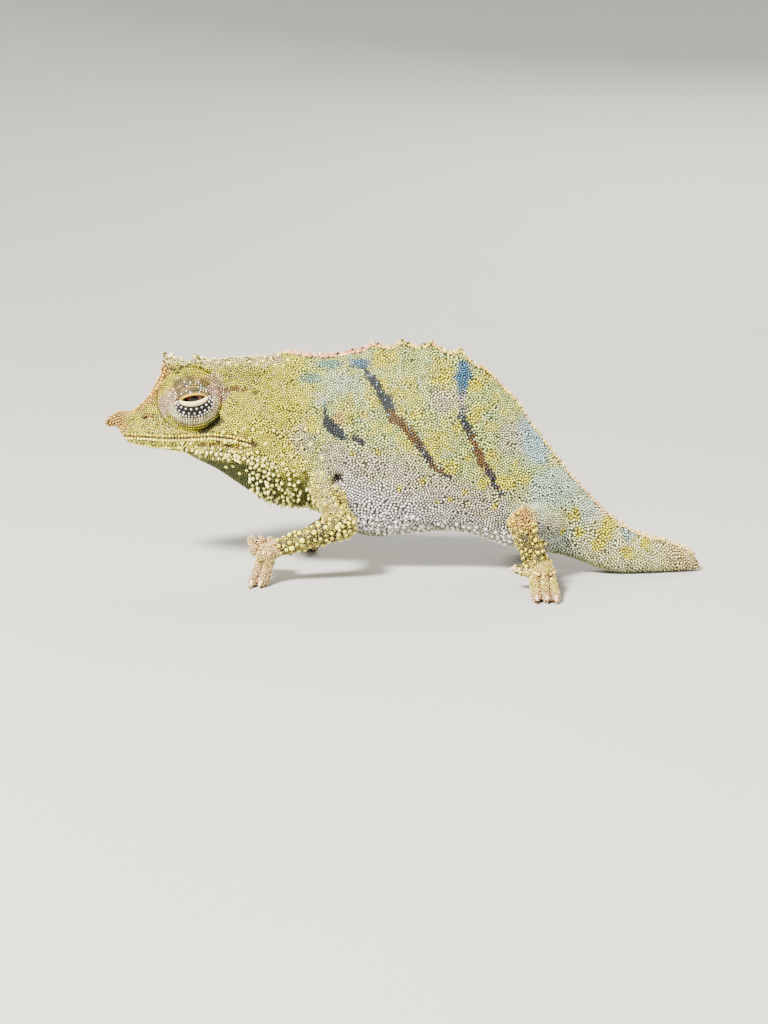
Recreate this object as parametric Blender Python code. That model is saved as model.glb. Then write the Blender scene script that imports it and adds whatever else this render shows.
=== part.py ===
"""Pygmy chameleon, life size, standing on four feet with its tail laid down.

The head points to -X, the left flank to -Y and the back to +Z. The soles and the tail rest on z = 0.
The shapes are worked in millimetres and scaled to metres at the end.
"""

import math
import random

import bmesh
import bpy
from mathutils import Matrix, Vector

MM = 0.001
GAP = 0.3
LEFT, RIGHT = -1, 1
SIDES = {"left": LEFT, "right": RIGHT}

# Head and body are one loft along X, read from these profiles of (x, value)
SNOUT_X, TAIL_X = -30.2, 32.4
RING_STEPS = (2, 3, 2, 3, 3, 3)
KEEL_Z = (
    (-30.2, 14.35), (-29.2, 13.75), (-27.4, 13.4), (-24.2, 13.05), (-22.0, 12.0), (-19.8, 10.9),
    (-16.0, 8.4), (-14.4, 7.45), (-12.3, 6.9), (-10.1, 6.65), (-7.4, 5.3), (-5.8, 4.2), (-3.6, 3.5),
    (-1.5, 3.7), (3.8, 4.3), (7.0, 4.1), (11.4, 2.75), (15.4, 2.15), (18.3, 1.5), (21.0, 0.4),
    (23.2, -0.12), (26.4, -0.12), (29.6, -0.08), (32.4, 0.05),
)
BACK_Z = (
    (-30.2, 15.2), (-29.9, 16.2), (-29.2, 17.0), (-28.0, 17.75), (-26.8, 19.2), (-25.9, 20.9),
    (-25.2, 21.6), (-22.0, 21.8), (-18.0, 22.1), (-15.0, 22.8), (-12.9, 23.5), (-11.0, 23.2),
    (-7.8, 23.15), (-5.0, 23.7), (-0.6, 24.1), (2.4, 24.0), (5.6, 23.2), (8.3, 21.5), (11.0, 19.1),
    (13.2, 16.2), (17.6, 11.0), (19.8, 8.6), (22.0, 6.5), (24.2, 5.0), (26.3, 4.15), (28.5, 3.6),
    (30.6, 2.8), (31.7, 1.9), (32.4, 0.75),
)
FLANK_Y = (
    (-16.0, 3.6), (-12.0, 3.6), (-8.0, 4.1), (-2.0, 4.7), (4.0, 4.9), (9.0, 4.5), (13.0, 3.8),
    (17.0, 3.0), (21.0, 2.4), (25.0, 1.95), (29.0, 1.35), (31.7, 0.85), (32.4, 0.4),
)
BEND_Y = ((-32.0, 0.0), (12.0, 0.0), (18.0, 0.12), (25.0, 0.75), (32.4, 1.9))
WIDEST_HEIGHT = 0.40
CREST_HALF = 0.3
SLOPE_POWER, FLANK_POWER, EDGE_POWER = 1.9, 0.95, 8

# The back's crest swells over each vertebra
CREST_FROM, CREST_TO = -5.5, 16.0
CREST_PITCH, CREST_PEAK_X, CREST_SWELL = 3.1, -3.6, 0.5
CREST_FADE_IN, CREST_FADE_OUT, CREST_SHARPNESS = 2.0, 5.0, 1.4

# Head section, from the brow down to the jaw edge
BROW_Y = (
    (-30.2, 0.35), (-29.6, 0.8), (-28.6, 1.15), (-27.2, 1.75), (-26.0, 2.6), (-24.0, 3.05),
    (-20.0, 3.25), (-16.0, 2.9), (-13.0, 1.9), (-9.0, 1.1),
)
BROW_Z = (
    (-30.2, 15.1), (-29.8, 16.0), (-29.0, 16.9), (-27.8, 17.75), (-26.5, 19.2), (-25.5, 21.0),
    (-24.8, 22.1), (-21.0, 22.35), (-18.5, 22.7), (-14.8, 22.9), (-13.0, 23.1), (-9.0, 22.6),
)
CHEEK_Y = (
    (-30.2, 0.42), (-29.6, 0.95), (-28.4, 1.6), (-26.0, 2.35), (-23.0, 2.9), (-20.0, 3.6),
    (-16.0, 4.15), (-12.0, 4.0),
)
CHEEK_Z = ((-30.2, 14.9), (-29.0, 16.0), (-27.0, 17.3), (-24.0, 18.3), (-16.0, 18.2), (-12.0, 17.4))
LIP_Y = (
    (-30.2, 0.42), (-29.6, 1.05), (-28.4, 1.75), (-25.0, 2.75), (-20.0, 3.55), (-16.0, 3.95),
    (-12.0, 3.9),
)
LIP_Z = ((-30.2, 14.6), (-25.0, 14.4), (-20.0, 14.7), (-16.0, 13.9), (-12.0, 13.2))
JAW_Y = (
    (-30.2, 0.35), (-29.6, 0.85), (-28.4, 1.45), (-25.0, 2.4), (-20.0, 3.15), (-16.0, 3.4),
    (-12.0, 3.5),
)
JAW_Z = (
    (-30.2, 14.4), (-29.0, 13.65), (-26.0, 13.15), (-22.0, 12.85), (-19.0, 12.3), (-15.0, 11.4),
    (-12.0, 10.2),
)
THROAT_Y = ((-30.2, 0.2), (-28.4, 0.8), (-25.0, 1.3), (-20.0, 1.7), (-16.0, 2.0), (-12.0, 2.4))
THROAT_SHARE = 0.45
HEAD_ENDS, TORSO_BEGINS = -15.5, -8.0

# Thin cuts part the loft into head, neck, torso and two lengths of tail
NAPE_X, SHOULDER_X, VENT_X, MID_TAIL_X = -12.85, -7.05, 17.0, 24.6
HEAD_PITCH, BODY_PITCH, TAIL_PITCH = 0.6, 0.78, 1.05

# Mouth
MOUTH_LINE = ((-31.5, 14.6), (-27.0, 14.3), (-23.0, 14.5), (-20.0, 14.7), (-18.0, 14.5), (-15.9, 13.95))
MOUTH_CORNER_X = -15.9
BELOW_JAW_Z, MOUTH_REACH_Y = 6.0, 8.0
LIP_FROM_X, LIP_TO_X, LIP_PITCH = -29.6, -16.8, 1.3
LIP_RADIUS, LIP_END_SHARE = 0.24, 0.55

# Eye turret, the ball in it, the slit of its lids and the rim round the slit
EYE_X, EYE_Y, EYE_Z = -22.3, 2.95, 18.4
TURRET_RADII = (3.1, 2.35, 2.95)
GAZE_X, GAZE_Z = -21.8, 18.42
BALL_RADIUS, BALL_Y = 1.3, 3.5
SLIT_RADII = (1.32, 1.6, 0.46)
LID_RADII, LID_THICKNESS, LID_STEPS = (1.56, 0.74), 0.2, 18
SLIT_TILT = math.radians(10)

NOSTRIL = (-27.0, 2.0, 16.35)
NOSTRIL_RADIUS = 0.3
SNOUT_HORN = ((-29.4, 16.4), (-30.3, 16.25), (-31.05, 15.9), (-31.65, 15.65))
SNOUT_HORN_RADII = (0.8, 0.76, 0.54, 0.28)
HORN_CLEAR_TO_X = -26.0
BROW_PEAK = (-25.05, 2.6, 22.1)
PEAK_RADIUS, PEAK_HEIGHT = 0.72, 1.0
BROW_KNOBS = (
    (-23.5, 0.32, 0.42), (-21.95, 0.85, 0.56), (-20.2, 0.3, 0.42), (-18.4, 0.3, 0.42),
    (-16.6, 0.32, 0.42), (-14.8, 0.25, 0.4),
)

# The head leans over about the left eye, with its left cheek turned up, and the neck takes up the turn
HEAD_LEAN = math.radians(-8)
LEAN_AXIS = Vector((0.0, -EYE_Y, EYE_Z))
LEAN_FULL_X, LEAN_ENDS_X = -16.5, -7.2

# Tubercles: (radius, length, droop) along the jaw, rows of cones on the throat, one thorn a side
# over the shoulder as (x, share of the height), and a spiral of low ones round each limb
SPINE_SIDES = 5
SUNK, CLEAR_OF_CUT = 0.02, 0.55
JAW_TUBERCLE_X = (-23.6, -22.3, -21.0, -19.7, -18.4, -17.1, -14.5)
JAW_TUBERCLE, JAW_TUBERCLE_RISE = (0.3, 0.42, 0.5), 0.1
THROAT_ROWS = (0.07, 0.14, 0.21, 0.28)
THROAT_FROM_X, THROAT_TO_X, THROAT_PITCH = -15.2, -9.7, 1.32
THROAT_CONE_RADIUS, THROAT_CONE_LENGTH, THROAT_DROOP = 0.33, 0.75, 0.8
SHOULDER_THORN, THORN_SIZE = (-6.0, 0.66), (0.5, 0.55)
LIMB_TUBERCLE_RADIUS, LIMB_TUBERCLE_LENGTH, LIMB_TUBERCLE_SUNK = 0.34, 0.42, 0.1
LIMB_SPREAD, GOLDEN_SHARE = math.radians(100), 0.618

# Limbs: joints as (x, distance from the midline, z) from body to palm, and the radius at each
ELBOW, WRIST = 3, 5
ARM_RADII = (1.8, 1.62, 1.45, 1.36, 1.2, 0.95, 1.0, 0.8)
LEG_RADII = (2.0, 1.85, 1.55, 1.38, 1.28, 1.12, 1.12, 0.85)
LEFT_ARM = (
    (-9.3, 1.6, 11.8), (-8.5, 3.7, 9.5), (-7.1, 5.3, 7.2), (-6.2, 6.1, 6.0),
    (-9.3, 6.6, 4.95), (-12.9, 7.0, 3.7), (-14.1, 7.1, 2.95), (-14.5, 7.1, 2.4),
)
RIGHT_ARM = (
    (-8.7, 1.6, 11.7), (-7.6, 3.6, 9.7), (-5.1, 5.1, 7.8), (-3.7, 6.0, 6.8),
    (-6.1, 6.2, 5.1), (-8.7, 6.3, 3.2), (-9.8, 6.4, 2.35), (-10.2, 6.4, 1.9),
)
LEFT_LEG = (
    (16.3, 0.9, 4.9), (14.3, 3.6, 6.0), (12.6, 5.5, 6.7), (11.8, 6.4, 6.75),
    (12.6, 7.6, 4.8), (13.85, 8.8, 2.75), (14.0, 9.5, 1.95), (14.05, 10.2, 1.35),
)
RIGHT_LEG = (
    (16.5, 0.9, 4.9), (15.0, 3.6, 6.0), (13.6, 5.5, 6.7), (12.9, 6.4, 6.8),
    (13.8, 7.6, 4.8), (15.15, 8.8, 2.75), (15.3, 9.5, 1.95), (15.35, 10.2, 1.35),
)
RIGHT_HAND_SHIFT, RIGHT_FOOT_SHIFT = (4.3, -0.7), (1.3, 0.0)
RIGHT_OUTER_HEIGHT, RIGHT_INNER_HEIGHT = 0.8, 0.6

# Toe bundles of the left feet: the path of each bundle's middle, and the line its toes spread along
HAND_BUNDLES = (
    {"path": ((-14.3, 7.1, 2.5), (-14.55, 7.6, 1.35), (-14.8, 8.1, 0.4), (-15.0, 8.9, 0.25)),
     "spread": (0.96, 0.1, 0.0), "toes": 2},
    {"path": ((-14.5, 6.5, 2.9), (-14.8, 5.6, 3.85), (-14.95, 4.9, 3.95), (-15.0, 4.3, 3.4)),
     "spread": (1.0, 0.1, 0.0), "toes": 3},
)
FOOT_BUNDLES = (
    {"path": ((14.04, 9.4, 1.75), (14.02, 10.7, 1.15), (14.06, 11.9, 0.4), (14.1, 12.9, 0.27)),
     "spread": (1.0, 0.0, 0.0), "toes": 3},
    {"path": ((13.6, 9.1, 1.95), (12.8, 8.8, 2.1), (12.1, 8.5, 2.1), (11.8, 8.3, 1.9)),
     "spread": (0.5, 0.8, 0.0), "toes": 2},
)
TOE_RADII = (0.52, 0.5, 0.45, 0.34)
TOE_PITCH, TOE_FAN = 0.8, 1.2
CLAW_RADIUS, CLAW_LENGTH, CLAW_LIFT = 0.25, 0.75, 0.04
ARM_SPINES, LEG_SPINES = (5, 12), (5, 9)
HEAD_SEED, ARM_SEED, LEG_SEED = 11, 21, 22
LIMB_CLEAR_X = (-14.0, 26.0)

FLOOR_REACH, FLOOR_DEPTH = 40.0, 3.0

# Colours of the living animal, by the start of a node's name
SKINS = (
    ("eye_turret", "turret skin", (0.42, 0.33, 0.24), 0.6),
    ("eye_", "dark eye", (0.02, 0.012, 0.008), 0.15),
    ("head", "head skin", (0.50, 0.45, 0.14), 0.6),
    ("lower_jaw", "head skin", (0.50, 0.45, 0.14), 0.6),
    ("snout_horn", "head skin", (0.50, 0.45, 0.14), 0.6),
    ("neck", "head skin", (0.50, 0.45, 0.14), 0.6),
    ("torso", "flank skin", (0.44, 0.46, 0.32), 0.6),
    ("tail", "tail skin", (0.50, 0.46, 0.30), 0.6),
    ("hand", "sole skin", (0.62, 0.42, 0.30), 0.6),
    ("foot", "sole skin", (0.62, 0.42, 0.30), 0.6),
    ("", "limb skin", (0.36, 0.32, 0.12), 0.65),
)


def curve_through(stations):
    """A smooth function of x through (x, value) stations."""
    xs = [x for x, _ in stations]
    values = [v for _, v in stations]
    last = len(xs) - 1
    slopes = []
    for i in range(last + 1):
        a, b = max(i - 1, 0), min(i + 1, last)
        slopes.append((values[b] - values[a]) / (xs[b] - xs[a]))

    def value_at(x):
        if x <= xs[0]:
            return values[0]
        if x >= xs[last]:
            return values[last]
        i = max(k for k in range(last) if xs[k] <= x)
        span = xs[i + 1] - xs[i]
        t = (x - xs[i]) / span
        return (
            values[i] * (2 * t**3 - 3 * t**2 + 1)
            + values[i + 1] * (3 * t**2 - 2 * t**3)
            + slopes[i] * span * (t**3 - 2 * t**2 + t)
            + slopes[i + 1] * span * (t**3 - t**2)
        )

    return value_at


mouth_z = curve_through(MOUTH_LINE)
keel_z, back_z, flank_y, bend_y = (curve_through(p) for p in (KEEL_Z, BACK_Z, FLANK_Y, BEND_Y))
brow_y, brow_z = curve_through(BROW_Y), curve_through(BROW_Z)
cheek_y, cheek_z = curve_through(CHEEK_Y), curve_through(CHEEK_Z)
lip_y, lip_z = curve_through(LIP_Y), curve_through(LIP_Z)
jaw_y, jaw_z = curve_through(JAW_Y), curve_through(JAW_Z)
throat_y = curve_through(THROAT_Y)


def smooth_step(low, high, x):
    t = min(1.0, max(0.0, (x - low) / (high - low)))
    return t * t * (3 - 2 * t)


def crest_z(x):
    """Height of the back's edge, with a swelling over each vertebra."""
    fade = smooth_step(CREST_FROM - CREST_FADE_IN, CREST_FROM + CREST_FADE_IN, x)
    fade *= 1 - smooth_step(CREST_TO - CREST_FADE_OUT, CREST_TO, x)
    turns = (x - CREST_PEAK_X) / CREST_PITCH
    wave = (0.5 + 0.5 * math.cos(2 * math.pi * turns)) ** CREST_SHARPNESS
    return back_z(x) + fade * CREST_SWELL * wave


def head_half_ring(x):
    """(y, z) of the head's section at x, from the throat's keel to the crown."""
    keel, jaw = keel_z(x), jaw_z(x)
    places = [
        Vector((0, keel)),
        Vector((throat_y(x), keel + (jaw - keel) * THROAT_SHARE)),
        Vector((jaw_y(x), jaw)),
        Vector((lip_y(x), lip_z(x))),
        Vector((cheek_y(x), cheek_z(x))),
        Vector((brow_y(x), brow_z(x))),
        Vector((0, back_z(x))),
    ]
    mirrored = [Vector((-places[1].x, places[1].y))] + places + [Vector((-places[-2].x, places[-2].y))]
    ring = []
    for i, steps in enumerate(RING_STEPS):
        a, b, c, d = mirrored[i : i + 4]
        for k in range(steps):
            t = k / steps
            square, cube = 2 * a - 5 * b + 4 * c - d, 3 * b - a - 3 * c + d
            ring.append(0.5 * (2 * b + (c - a) * t + square * t**2 + cube * t**3))
    return ring + [places[-1]]


def body_half_ring(x):
    """(y, z) of the narrow body's section at x, from belly to crest."""
    low, high, half = keel_z(x), crest_z(x), flank_y(x)
    count = sum(RING_STEPS)
    ring = []
    for k in range(count + 1):
        h = (1 - math.cos(math.pi * k / count)) / 2
        if h < WIDEST_HEIGHT:
            y = half * math.sqrt(max(0.0, 1 - ((WIDEST_HEIGHT - h) / WIDEST_HEIGHT) ** 2))
        else:
            s = (h - WIDEST_HEIGHT) / (1 - WIDEST_HEIGHT)
            flank = half * (1 - s**SLOPE_POWER) ** FLANK_POWER
            y = max(flank, min(CREST_HALF, half) * (1 - s**EDGE_POWER))
        ring.append(Vector((y, low + (high - low) * h)))
    ring[0].x = ring[-1].x = 0.0
    return ring


def lean_at(x):
    """The turn of the head or neck at x."""
    angle = HEAD_LEAN * (1 - smooth_step(LEAN_FULL_X, LEAN_ENDS_X, x))
    return Matrix.Translation(LEAN_AXIS) @ Matrix.Rotation(angle, 4, "X") @ Matrix.Translation(-LEAN_AXIS)


def upright_ring(x, grown=0.0):
    """The loft's closed section at x before it leans, grown outwards where a clearance is wanted."""
    share = smooth_step(HEAD_ENDS, TORSO_BEGINS, x)
    if share == 0:
        half = head_half_ring(x)
    elif share == 1:
        half = body_half_ring(x)
    else:
        half = [a.lerp(b, share) for a, b in zip(head_half_ring(x), body_half_ring(x))]
    if grown:
        middle = (half[0].y + half[-1].y) / 2
        half = [
            Vector((p.x + grown * min(1.0, p.x / 0.5), p.y + math.copysign(grown, p.y - middle)))
            for p in half
        ]
    centre = bend_y(x)
    left = [Vector((x, centre - p.x, p.y)) for p in half]
    right = [Vector((x, centre + p.x, p.y)) for p in half[-2:0:-1]]
    return left + right


def ring_at(x, grown=0.0):
    lean = lean_at(x)
    return [lean @ p for p in upright_ring(x, grown)]


def object_from(bm, name):
    """A mesh object with its faces pointing out."""
    bmesh.ops.recalc_face_normals(bm, faces=bm.faces)
    mesh = bpy.data.meshes.new(name)
    bm.to_mesh(mesh)
    bm.free()
    obj = bpy.data.objects.new(name, mesh)
    bpy.context.scene.collection.objects.link(obj)
    return obj


def loft(name, rings):
    """A closed solid through rings of equal count, with a fan of triangles over each end."""
    bm = bmesh.new()
    loops = [[bm.verts.new(p) for p in ring] for ring in rings]
    for a, b in zip(loops, loops[1:]):
        for k in range(len(a)):
            n = (k + 1) % len(a)
            bm.faces.new((a[k], a[n], b[n], b[k]))
    for loop in (loops[0], loops[-1]):
        hub = bm.verts.new(sum((v.co for v in loop), Vector()) / len(loop))
        for k in range(len(loop)):
            bm.faces.new((loop[k], loop[(k + 1) % len(loop)], hub))
    return object_from(bm, name)


def stations_between(start, end, pitch):
    count = max(1, round((end - start) / pitch))
    return [start + (end - start) * k / count for k in range(count + 1)]


def body_length(name, start, end, pitch, grown=0.0):
    """A length of the head and body loft from start to end."""
    return loft(name, [ring_at(x, grown) for x in stations_between(start, end, pitch)])


def tube(name, points, radii, sides=10, per_span=3, flat=1.0):
    """A round limb or toe through points, its radius changing smoothly.

    flat thins it across its second direction.
    """
    keys = list(range(len(points)))
    axes = [curve_through([(k, points[k][i]) for k in keys]) for i in range(3)]
    radius = curve_through(list(zip(keys, radii)))
    steps = [k / per_span for k in range(per_span * keys[-1] + 1)]
    path = [Vector(axis(s) for axis in axes) for s in steps]
    across = None
    rings = []
    for i, centre in enumerate(path):
        along = (path[min(i + 1, len(path) - 1)] - path[max(i - 1, 0)]).normalized()
        if across is None:
            across = along.orthogonal().normalized()
        across = (across - along * across.dot(along)).normalized()
        other = along.cross(across)
        r = radius(steps[i])
        rings.append(
            [
                centre + across * r * math.cos(a) + other * r * flat * math.sin(a)
                for a in (2 * math.pi * k / sides for k in range(sides))
            ]
        )
    return loft(name, rings)


def closed_rim(name, points, radius, sides=6):
    """A round bead along a closed path of points."""
    rings = []
    for i, centre in enumerate(points):
        along = (points[(i + 1) % len(points)] - points[i - 1]).normalized()
        out = along.cross(Vector((0, 1, 0))).normalized()
        other = along.cross(out)
        rings.append(
            [
                centre + radius * (out * math.cos(a) + other * math.sin(a))
                for a in (2 * math.pi * k / sides for k in range(sides))
            ]
        )
    bm = bmesh.new()
    loops = [[bm.verts.new(p) for p in ring] for ring in rings]
    for a, b in zip(loops, loops[1:] + loops[:1]):
        for k in range(sides):
            n = (k + 1) % sides
            bm.faces.new((a[k], a[n], b[n], b[k]))
    return object_from(bm, name)


def ellipsoid(name, centre, radii, rings=10, segments=18):
    bm = bmesh.new()
    bmesh.ops.create_uvsphere(bm, u_segments=segments, v_segments=rings, radius=1.0)
    bmesh.ops.scale(bm, vec=radii, verts=bm.verts)
    bmesh.ops.translate(bm, vec=centre, verts=bm.verts)
    return object_from(bm, name)


def spine(root, direction, radius, height, sunk=0.35, tip=0.3):
    """A blunt cone standing on root, its foot sunk into what carries it.

    tip is the share of the radius that its top keeps.
    """
    bm = bmesh.new()
    bmesh.ops.create_cone(
        bm, cap_ends=True, segments=SPINE_SIDES, radius1=radius, radius2=radius * tip, depth=height + sunk
    )
    bmesh.ops.translate(bm, vec=(0, 0, (height - sunk) / 2), verts=bm.verts)
    turn = Vector(direction).to_track_quat("Z", "Y").to_matrix()
    bmesh.ops.rotate(bm, matrix=turn, verts=bm.verts)
    bmesh.ops.translate(bm, vec=root, verts=bm.verts)
    return object_from(bm, "spine")


def box(name, low, high):
    bm = bmesh.new()
    bmesh.ops.create_cube(bm, size=1.0)
    low, high = Vector(low), Vector(high)
    bmesh.ops.scale(bm, vec=high - low, verts=bm.verts)
    bmesh.ops.translate(bm, vec=(low + high) / 2, verts=bm.verts)
    return object_from(bm, name)


def apply_modifiers(obj):
    graph = bpy.context.evaluated_depsgraph_get()
    mesh = bpy.data.meshes.new_from_object(obj.evaluated_get(graph))
    obj.modifiers.clear()
    obj.data = mesh


def combine(obj, others, operation):
    """Joins others to obj, cuts obj by them or keeps what they share, and removes them."""
    if not others:
        return obj
    group = bpy.data.collections.new("operands")
    bpy.context.scene.collection.children.link(group)
    for other in others:
        bpy.context.scene.collection.objects.unlink(other)
        group.objects.link(other)
    step = obj.modifiers.new(operation.lower(), "BOOLEAN")
    step.operation = operation
    step.operand_type = "COLLECTION"
    step.collection = group
    step.solver = "MANIFOLD"
    apply_modifiers(obj)
    for other in list(group.objects):
        bpy.data.objects.remove(other)
    bpy.data.collections.remove(group)
    return largest_surface(obj)


def largest_surface(obj):
    """Keeps only the closed surface with the largest volume."""
    bm = bmesh.new()
    bm.from_mesh(obj.data)
    left = set(bm.verts)
    islands = []
    while left:
        island, edge = set(), [left.pop()]
        while edge:
            v = edge.pop()
            island.add(v)
            for e in v.link_edges:
                other = e.other_vert(v)
                if other in left:
                    left.remove(other)
                    edge.append(other)
        islands.append(island)

    def size(island):
        corners = [v.co for v in island]
        spans = [max(c[i] for c in corners) - min(c[i] for c in corners) for i in range(3)]
        return spans[0] * spans[1] * spans[2]

    keep = max(islands, key=size)
    bmesh.ops.delete(bm, geom=[v for v in bm.verts if v not in keep], context="VERTS")
    bm.to_mesh(obj.data)
    bm.free()
    return obj


def duplicate(obj, name):
    twin = obj.copy()
    twin.data = obj.data.copy()
    twin.name = name
    bpy.context.scene.collection.objects.link(twin)
    return twin


def keep_side(obj, point, normal):
    """Cuts obj flat at point, keeps the side that normal points to and closes the cut."""
    bm = bmesh.new()
    bm.from_mesh(obj.data)
    bmesh.ops.bisect_plane(
        bm,
        geom=bm.verts[:] + bm.edges[:] + bm.faces[:],
        plane_co=Vector(point),
        plane_no=Vector(normal),
        clear_inner=True,
    )
    rim = [e for e in bm.edges if e.is_boundary]
    made = bmesh.ops.holes_fill(bm, edges=rim, sides=0)["faces"]
    bmesh.ops.triangulate(bm, faces=made)
    bmesh.ops.recalc_face_normals(bm, faces=bm.faces)
    bm.to_mesh(obj.data)
    bm.free()
    return largest_surface(obj)


def on_surface(x, height, side):
    """A point on the loft at a share of its height, and the direction out of it."""
    half = upright_ring(x)[: sum(RING_STEPS) + 1]
    wanted = half[0].z + (half[-1].z - half[0].z) * height
    k = max(i for i in range(len(half) - 1) if half[i].z <= wanted or i == 0)
    a, b = half[k], half[k + 1]
    t = min(1.0, max(0.0, (wanted - a.z) / max(b.z - a.z, 1e-6)))
    point = a.lerp(b, t)
    run = b - a
    out = Vector((0, -run.z, run.y)).normalized()
    if side == RIGHT:
        point.y = 2 * bend_y(x) - point.y
        out.y = -out.y
    lean = lean_at(x)
    return lean @ point, lean.to_3x3() @ out


def spines_along(places, rng, side):
    """Spines for (x, height share, radius, length, droop) places on one flank, no two alike."""
    made = []
    for x, height, radius, length, droop in places:
        root, out = on_surface(x + rng.uniform(-0.12, 0.12), height + rng.uniform(-0.012, 0.012), side)
        lean = out + Vector((rng.uniform(-0.2, 0.2), 0, -droop))
        made.append(spine(root, lean.normalized(), radius, length * rng.uniform(0.8, 1.2)))
    return made


def jaw_places():
    """Places for the low tubercles along the edge of the lower jaw."""
    places = []
    for x in JAW_TUBERCLE_X:
        low, high = keel_z(x), crest_z(x)
        places.append((x, (jaw_z(x) + JAW_TUBERCLE_RISE - low) / (high - low), *JAW_TUBERCLE))
    return places


def throat_places():
    """Places for the cones of the throat pouch, in rows from the jaw's hinge back to the chest."""
    places = []
    for row, height in enumerate(THROAT_ROWS):
        x = THROAT_FROM_X + THROAT_PITCH * 0.45 * (row % 2)
        while x < THROAT_TO_X:
            if abs(x - NAPE_X) > CLEAR_OF_CUT:
                length = THROAT_CONE_LENGTH * (1 - height / 2)
                places.append((x, height, THROAT_CONE_RADIUS, length, THROAT_DROOP))
            x += THROAT_PITCH
    return places


def sort_by_cut(places):
    """Shares spine places out among the lower jaw, the head and the neck."""
    jaw = [p for p in places if p[0] < MOUTH_CORNER_X - CLEAR_OF_CUT]
    head = [p for p in places if MOUTH_CORNER_X + CLEAR_OF_CUT < p[0] < NAPE_X - CLEAR_OF_CUT]
    neck = [p for p in places if p[0] > NAPE_X + CLEAR_OF_CUT]
    return jaw, head, neck


def leaning(obj, x=LEAN_FULL_X):
    """Turns a piece that was built upright as the head leans at x."""
    obj.data.transform(lean_at(x))
    return obj


def mouth_prism(name, drop):
    """All that lies below the mouth line and ahead of the mouth corner, lowered and drawn forward by drop."""
    outline = [(x, z - drop) for x, z in MOUTH_LINE]
    outline[-1] = (outline[-1][0] - drop, outline[-1][1])
    outline += [(MOUTH_CORNER_X - drop, BELOW_JAW_Z), (MOUTH_LINE[0][0], BELOW_JAW_Z)]
    bm = bmesh.new()
    face = bm.faces.new([bm.verts.new((x, -MOUTH_REACH_Y, z)) for x, z in outline])
    made = bmesh.ops.extrude_face_region(bm, geom=[face])["geom"]
    far = [v for v in made if isinstance(v, bmesh.types.BMVert)]
    bmesh.ops.translate(bm, vec=(0, 2 * MOUTH_REACH_Y, 0), verts=far)
    return leaning(object_from(bm, name))


def brow_spines(side):
    """The pointed brow peak and the knobs along the brow ridge."""
    x, y, z = BROW_PEAK
    lean = (-0.12, side * 0.12, 1.0)
    made = [leaning(spine((x, side * y, z), lean, PEAK_RADIUS, PEAK_HEIGHT, sunk=0.5, tip=0.42))]
    for x, height, radius in BROW_KNOBS:
        root = (x, side * brow_y(x) * 0.97, brow_z(x) - 0.08)
        made.append(leaning(spine(root, (0, side * 0.3, 1.0), radius, height, tip=0.5), x))
    return made


def lip(side, rise):
    """A raised lip along one side of the mouth: the upper one where rise is 1, the lower at -1."""
    points = []
    for x in stations_between(LIP_FROM_X, LIP_TO_X, LIP_PITCH):
        z = mouth_z(x) + rise * (GAP / 2 + LIP_RADIUS)
        points.append(lean_at(x) @ Vector((x, side * (lip_y(x) - SUNK), z)))
    ends = (0, len(points) - 1)
    radii = [LIP_RADIUS * (LIP_END_SHARE if k in ends else 1.0) for k in range(len(points))]
    return tube("lip", points, radii, sides=6, per_span=1)


def turret_y(x, z):
    """How far from the midline the turret's surface lies at x and z."""
    across = ((x - EYE_X) / TURRET_RADII[0]) ** 2 + ((z - EYE_Z) / TURRET_RADII[2]) ** 2
    return EYE_Y + TURRET_RADII[1] * math.sqrt(max(0.0, 1 - across))


def lid_rim(side):
    """The swollen edge of the lids, an oval that lies on the turret."""
    points = []
    for k in range(LID_STEPS):
        a = 2 * math.pi * k / LID_STEPS
        u, v = LID_RADII[0] * math.cos(a), LID_RADII[1] * math.sin(a)
        x = GAZE_X + u * math.cos(SLIT_TILT) - v * math.sin(SLIT_TILT)
        z = GAZE_Z + u * math.sin(SLIT_TILT) + v * math.cos(SLIT_TILT)
        points.append(Vector((x, side * (turret_y(x, z) - SUNK), z)))
    return closed_rim("lid_rim", points, LID_THICKNESS)


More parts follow.
